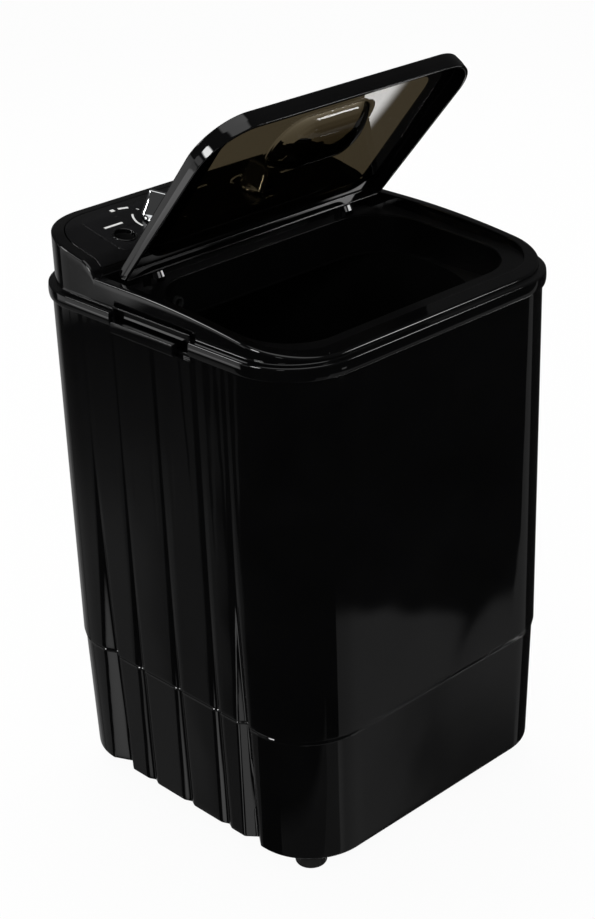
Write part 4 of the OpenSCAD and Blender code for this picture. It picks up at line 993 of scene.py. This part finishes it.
def make_handle(side):
    """Finger pocket let into the side, with its rounded lip."""
    name = "left" if side < 0 else "right"
    shell = Shell()
    outer, inner = HALF - 0.2, HALF - HANDLE_DEPTH + 0.3
    threshold = HALF - 2.8
    front, back = HANDLE_FRONT + 0.3, HANDLE_BACK - 0.3
    low, high = POCKET_FLOOR, HANDLE_ROOF - 0.3
    for sizes in (
            (BAND_HALF, HALF - 3, HANDLE_LIP_FRONT, back, HANDLE_LIP_LOW, HANDLE_LIP_TOP, 1.2),
            (outer, inner, front, back, high - 2, high),
            (outer, inner, front, front + 2, low, high),
            (outer, inner, back - 2, back, low, high),
            (inner + 2, inner, front, back, low, high),
            (threshold, inner, front, back, low - 0.7, low + 1.5),
            (threshold, HALF - 5, front, back, low, RIM_Z - 1)):
        add_cuboid(shell, side, *sizes)
    dress(shell.make(f"side_handle_{name}_grip", SHELL), "body", "shell_black", f"side_handle_{name}")


# Foot, as (radius, height) round its recess, tread and flank
FOOT_PROFILE = (
    (5.2, 6), (5.2, 0.8), (6, 0), (13.4, 0), (14.4, 0.5), (15, 1.6), (14.8, 5), (14.5, 9.5),
    (14.2, 11.2), (13.2, 12), (13, 12.6), (13, 15))


def make_foot(node):
    low, high = box_mm(node)
    rows = turned(FOOT_PROFILE, 64, (low.x + high.x) / 2, (low.y + high.y) / 2)
    dress(loft_object(f"{node}_rubber", RUBBER, rows, capped=True), "body", "black_rubber", node)


def fin_rows(turn, radius, floor):
    """Rows across one curved fin of the pulsator, from its hub out to its tip."""
    rows = []
    for share in spread(0, 1, 15):
        reach = 17 + (radius - 24) * share
        bend = turn + 0.25 * share * share
        height = FIN_HEIGHT * math.sin(math.pi * min(1, share * 0.85 + 0.15)) ** 0.8
        across = Vector((-math.sin(bend), math.cos(bend), 0)) * (8.5 - 2 * share)
        spine = Vector((reach * math.cos(bend), TUB_Y + reach * math.sin(bend), floor))
        rows.append([spine + across * c + Vector((0, 0, height * s ** 0.8 if s > 0 else 0))
                     for c, s in arc(1, 180, 0, 10)])
    return rows


def make_pulsator():
    """Ribbed dish that turns in the tub's floor."""
    low, high = box_mm("pulsator")
    radius = (high.x - low.x) / 2
    profile = [(6, 0), (radius - 3, 0), (radius, 1.2), (radius - 0.6, 3.2), (radius - 4, 4.4),
               (radius * 0.6, 5.2), (34, 7.5), (25, 12), (20, 17), (15, 19.4), (10, 20), (6, 20)]
    shell = Shell()
    shell.loft(turned(profile, 120, 0, TUB_Y, low.z), capped=True)
    for fin in range(FINS):
        shell.loft(fin_rows(2 * math.pi * fin / FINS, radius, low.z + 3), capped=True)
    dress(shell.make("pulsator_dish", TUB), "agitator", "tub_black", "pulsator")


def finish_nodes():
    """Gives every CAD node its own finish. What isn't named here is shell plastic."""
    named = {
        IVORY: "wash_timer selector_switch capacitor terminal_block",
        STEEL: ("timer_shaft selector_shaft hinge_pin_left hinge_pin_right pulsator_screw drive_shaft "
                "upper_bearing lower_bearing shaft_nut motor_shaft motor_screws bracket_screws "
                "tub_screws frame_screws bottom_cover_screws foot_screws capacitor_clip"),
        ALLOY: "bearing_housing drive_pulley motor_pulley",
        COATED: "motor motor_bracket",
        RUBBER: "shaft_seal drive_belt wiring_harness cord_gland",
        DARK: "water_inlet bottom_cover drain_pipe",
        TUB: "wash_tub"}
    finishes = {node: material for material, nodes in named.items() for node in nodes.split()}
    for node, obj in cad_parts.items():
        obj.data.materials.clear()
        obj.data.materials.append(finishes.get(node, SHELL))


# Studio

# Inputs of a lit area, in the order of its row
AREA_INPUTS = ("Middle", "Reach", "Side Blur", "Low", "High", "Edge Blur", "Glow", "Slope")

# Lit areas that the gloss mirrors. A turn is in degrees about the vertical from the right, a reach is half a
# width and a height is the sine of the angle over the floor. The slope of both edges, per degree, is left out
# where it is 0. A glow below zero shades what other areas light.
LIT_AREAS = {
    "floor_front": (-61.5, 19.9, 0.7, -1, -0.498, 0.003, 0.175),
    "floor_front_right": (-30, 11.4, 0.7, -1, -0.35, 0.003, 0.16, 0.0144),
    "floor_right_shade": (-36, 6, 2.5, -1, -0.562, 0.026, -0.11),
    "floor_low": (-108, 34, 6, -1, -0.574, 0.01, 0.1),
    "floor_side": (111, 20.2, 0.6, -1, -0.4, 0.07, 0.07),
    "floor_side_far": (115, 13.6, 0.6, -1, -0.44, 0.03, 0.05),
    "floor_left": (183.5, 8, 3, -1, -0.49, 0.015, 1.1),
    "floor_left_low": (213, 7, 3, -1, -0.555, 0.015, 0.8),
    "floor_lid": (5, 7.4, 0.25, -1, -0.6563, 0.003, 3.2, -0.00766),
    "floor_back": (60, 30, 10, -1, -0.2, 0.1, 0.25),
    "backdrop_left": (127, 16, 2, -0.31, 0, 0.015, 0.6),
    "backdrop_left_low": (135.2, 7.4, 0.4, -0.345, -0.275, 0.008, 0.9),
    "backdrop_far": (118, 9.8, 0.4, -0.352, -0.31, 0.008, 0.25),
    "backdrop_corner": (151, 8, 3, -0.1, 0.1, 0.03, 0.8),
    "box_left": (132, 7, 2, 0.36, 0.56, 0.02, 10),
    "box_right": (-43.5, 2.2, 0.6, 0.28, 0.46, 0.01, 12),
    "box_lug": (-50, 1.6, 0.4, 0.33, 0.43, 0.01, 2.6),
    "box_key": (168, 7, 2, 0.2, 0.46, 0.03, 18),
    "box_front": (-154, 5, 1.5, -0.05, 0.3, 0.03, 1.1),
    "box_corner": (-60, 4, 1, -0.385, -0.33, 0.008, 0.8),
    "box_top": (0, 200, 1, 0.9, 2, 0.02, 1.2)}


def make_area_group():
    """A lit area between two turns about the object and two heights, with soft edges."""
    inputs = {"Turn": 0, "Height": 0}
    inputs.update(zip(AREA_INPUTS, (0, 10, 2, -1, 1, 0.02, 1, 0)))
    group, entry, out = new_group("softbox", inputs, "Light", "NodeSocketFloat")
    offset = calculate(group, "SUBTRACT", entry["Turn"], entry["Middle"])
    wrapped = calculate(group, "WRAP", offset, 180, -180)
    distance = calculate(group, "ABSOLUTE", wrapped)
    drop = calculate(group, "MULTIPLY", wrapped, entry["Slope"])
    level = calculate(group, "SUBTRACT", entry["Height"], drop)
    light = entry["Glow"]
    for value, edge, blur, start, end in (
            (distance, entry["Reach"], entry["Side Blur"], 1, 0),
            (level, entry["High"], entry["Edge Blur"], 1, 0),
            (level, entry["Low"], entry["Edge Blur"], 0, 1)):
        before, after = calculate(group, "SUBTRACT", edge, blur), calculate(group, "ADD", edge, blur)
        inside = map_range(group, value, before, after, start, end, interpolation_type="SMOOTHSTEP")
        light = calculate(group, "MULTIPLY", inside, light)
    group.links.new(light, out)
    return group


def white_mask(tree):
    """One where the camera, a mirror or glass looks at the studio, and zero for its light."""
    rays = add_node(tree, "LightPath").outputs
    first = calculate(tree, "MAXIMUM", rays["Is Camera Ray"], rays["Is Glossy Ray"])
    return calculate(tree, "MAXIMUM", first, rays["Is Transmission Ray"])


def make_world():
    """A white backdrop, with even light for matt surfaces."""
    world = bpy.data.worlds.new("studio")
    bpy.context.scene.world = world
    world.use_nodes = True
    tree = world.node_tree
    tree.nodes.clear()
    even, white = (add_node(tree, "Background", {"Strength": strength, "Color": (1, 1, 1, 1)})
                   for strength in (0.55, 1))
    add_node(tree, "OutputWorld", {0: mix_shaders(tree, white_mask(tree), even, white)})


def new_stage_piece(name, mesh, material, hidden_from):
    """A part of the studio, hidden from some kinds of rays."""
    mesh.materials.append(material)
    piece = add_object(name, mesh)
    for rays in hidden_from:
        setattr(piece, "visible_" + rays, False)


def flat_mesh(name, corners):
    mesh = bpy.data.meshes.new(name)
    mesh.from_pydata(corners, [], [(0, 1, 2, 3)])
    return mesh


def make_floor():
    """White floor that keeps the object's shadow."""
    material, tree = new_material("floor_white", empty=True)
    share = calculate(tree, "MULTIPLY", white_mask(tree), 0.95)
    paper = add_node(tree, "BsdfDiffuse", {"Color": (0.92, 0.92, 0.92, 1)})
    glow = add_node(tree, "Emission", {"Strength": 1})
    add_node(tree, "OutputMaterial", {0: mix_shaders(tree, share, paper, glow)})
    half = 6
    mesh = flat_mesh("studio_floor", [(-half, -half, 0), (half, -half, 0), (half, half, 0), (-half, half, 0)])
    new_stage_piece("studio_floor", mesh, material, ("glossy",))


def make_tent():
    """Dark tent round the studio with lit areas in it, which only the reflections show."""
    material, tree = new_material("tent_cloth", empty=True)
    material.cycles.emission_sampling = "NONE"
    area_group = make_area_group()
    unit = add_node(tree, "VectorMath", {0: object_place(tree)}, operation="NORMALIZE")
    parts = add_node(tree, "SeparateXYZ", {0: unit.outputs["Vector"]}).outputs
    turn = calculate(tree, "DEGREES", calculate(tree, "ARCTAN2", parts["Y"], parts["X"]))
    level = map_range(tree, parts["Z"], -0.05, 0.05, 0.012, 0.05)
    for row in LIT_AREAS.values():
        settings = {"Turn": turn, "Height": parts["Z"]}
        settings.update(zip(AREA_INPUTS, row))
        level = calculate(tree, "ADD", level, place_group(tree, area_group, settings))
    glow = add_node(tree, "Emission", {"Strength": level})
    clear = add_node(tree, "BsdfTransparent")
    mirrored = calculate(tree, "GREATER_THAN", add_node(tree, "LightPath").outputs["Glossy Depth"], 0.5)
    add_node(tree, "OutputMaterial", {0: mix_shaders(tree, mirrored, clear, glow)})
    mesh = bpy.data.meshes.new("studio_tent")
    work = bmesh.new()
    bmesh.ops.create_uvsphere(work, u_segments=48, v_segments=24, radius=60)
    work.to_mesh(mesh)
    work.free()
    new_stage_piece("studio_tent", mesh, material, ("camera", "diffuse", "shadow"))


def make_flag():
    """Dark board by the front corner, a little lit near the floor, which only the reflections show."""
    material, tree = new_material("flag_cloth", empty=True)
    height = add_node(tree, "SeparateXYZ", {0: object_place(tree)}).outputs["Z"]
    glow = add_node(tree, "Emission", {"Strength": map_range(tree, height, 0.01, 0.05, 0.07, 0.012)})
    add_node(tree, "OutputMaterial", {0: glow.outputs[0]})
    x, front, back, low, high = -0.2, -0.42, -0.126, -0.1, 0.5
    mesh = flat_mesh("studio_flag", [(x, front, low), (x, back, low), (x, back, high), (x, front, high)])
    new_stage_piece("studio_flag", mesh, material, ("camera", "diffuse", "shadow", "transmission"))


def add_lamp(name, place, aim, size, power):
    """Plain area lamp that lights matt surfaces and stays out of reflections."""
    data = bpy.data.lights.new(name, "AREA")
    data.shape = "RECTANGLE"
    data.size, data.size_y = size
    data.energy = power
    lamp = add_object(name, data)
    lamp.location = place
    lamp.rotation_euler = (Vector(aim) - Vector(place)).to_track_quat("-Z", "Y").to_euler()
    lamp.visible_glossy = False
    lamp.visible_transmission = False


def make_lamps():
    add_lamp("overhead", (0.3, 0.5, 2.6), (0, 0, 0.4), (1.4, 0.9), 26)
    add_lamp("front_left", (-1.8, -1.2, 1.8), (0, 0, 0.4), (0.5, 0.6), 9)
    add_lamp("back_right", (1.6, 1.7, 1.5), (0, 0, 0.5), (0.5, 0.9), 8)


make_camera()
finish_nodes()
make_cabinet()
make_base()
make_top_frame()
make_panel()
make_plate()
make_inlet_ring()
make_print()
make_knob("wash_timer_knob_chrome", -DIAL_X, 29, "timer_dial", "wash_timer_knob")
make_knob("selector_knob_chrome", DIAL_X, 0, "selector_dial", "selector_knob")
make_lid_frame()
make_window()
for handle_side in (-1, 1):
    make_handle(handle_side)
for foot_end in ("front", "rear"):
    make_foot(f"foot_{foot_end}_left")
    make_foot(f"foot_{foot_end}_right")
make_pulsator()
make_world()
make_floor()
make_tent()
make_flag()
make_lamps()

bpy.context.scene.view_settings.view_transform = "Standard"
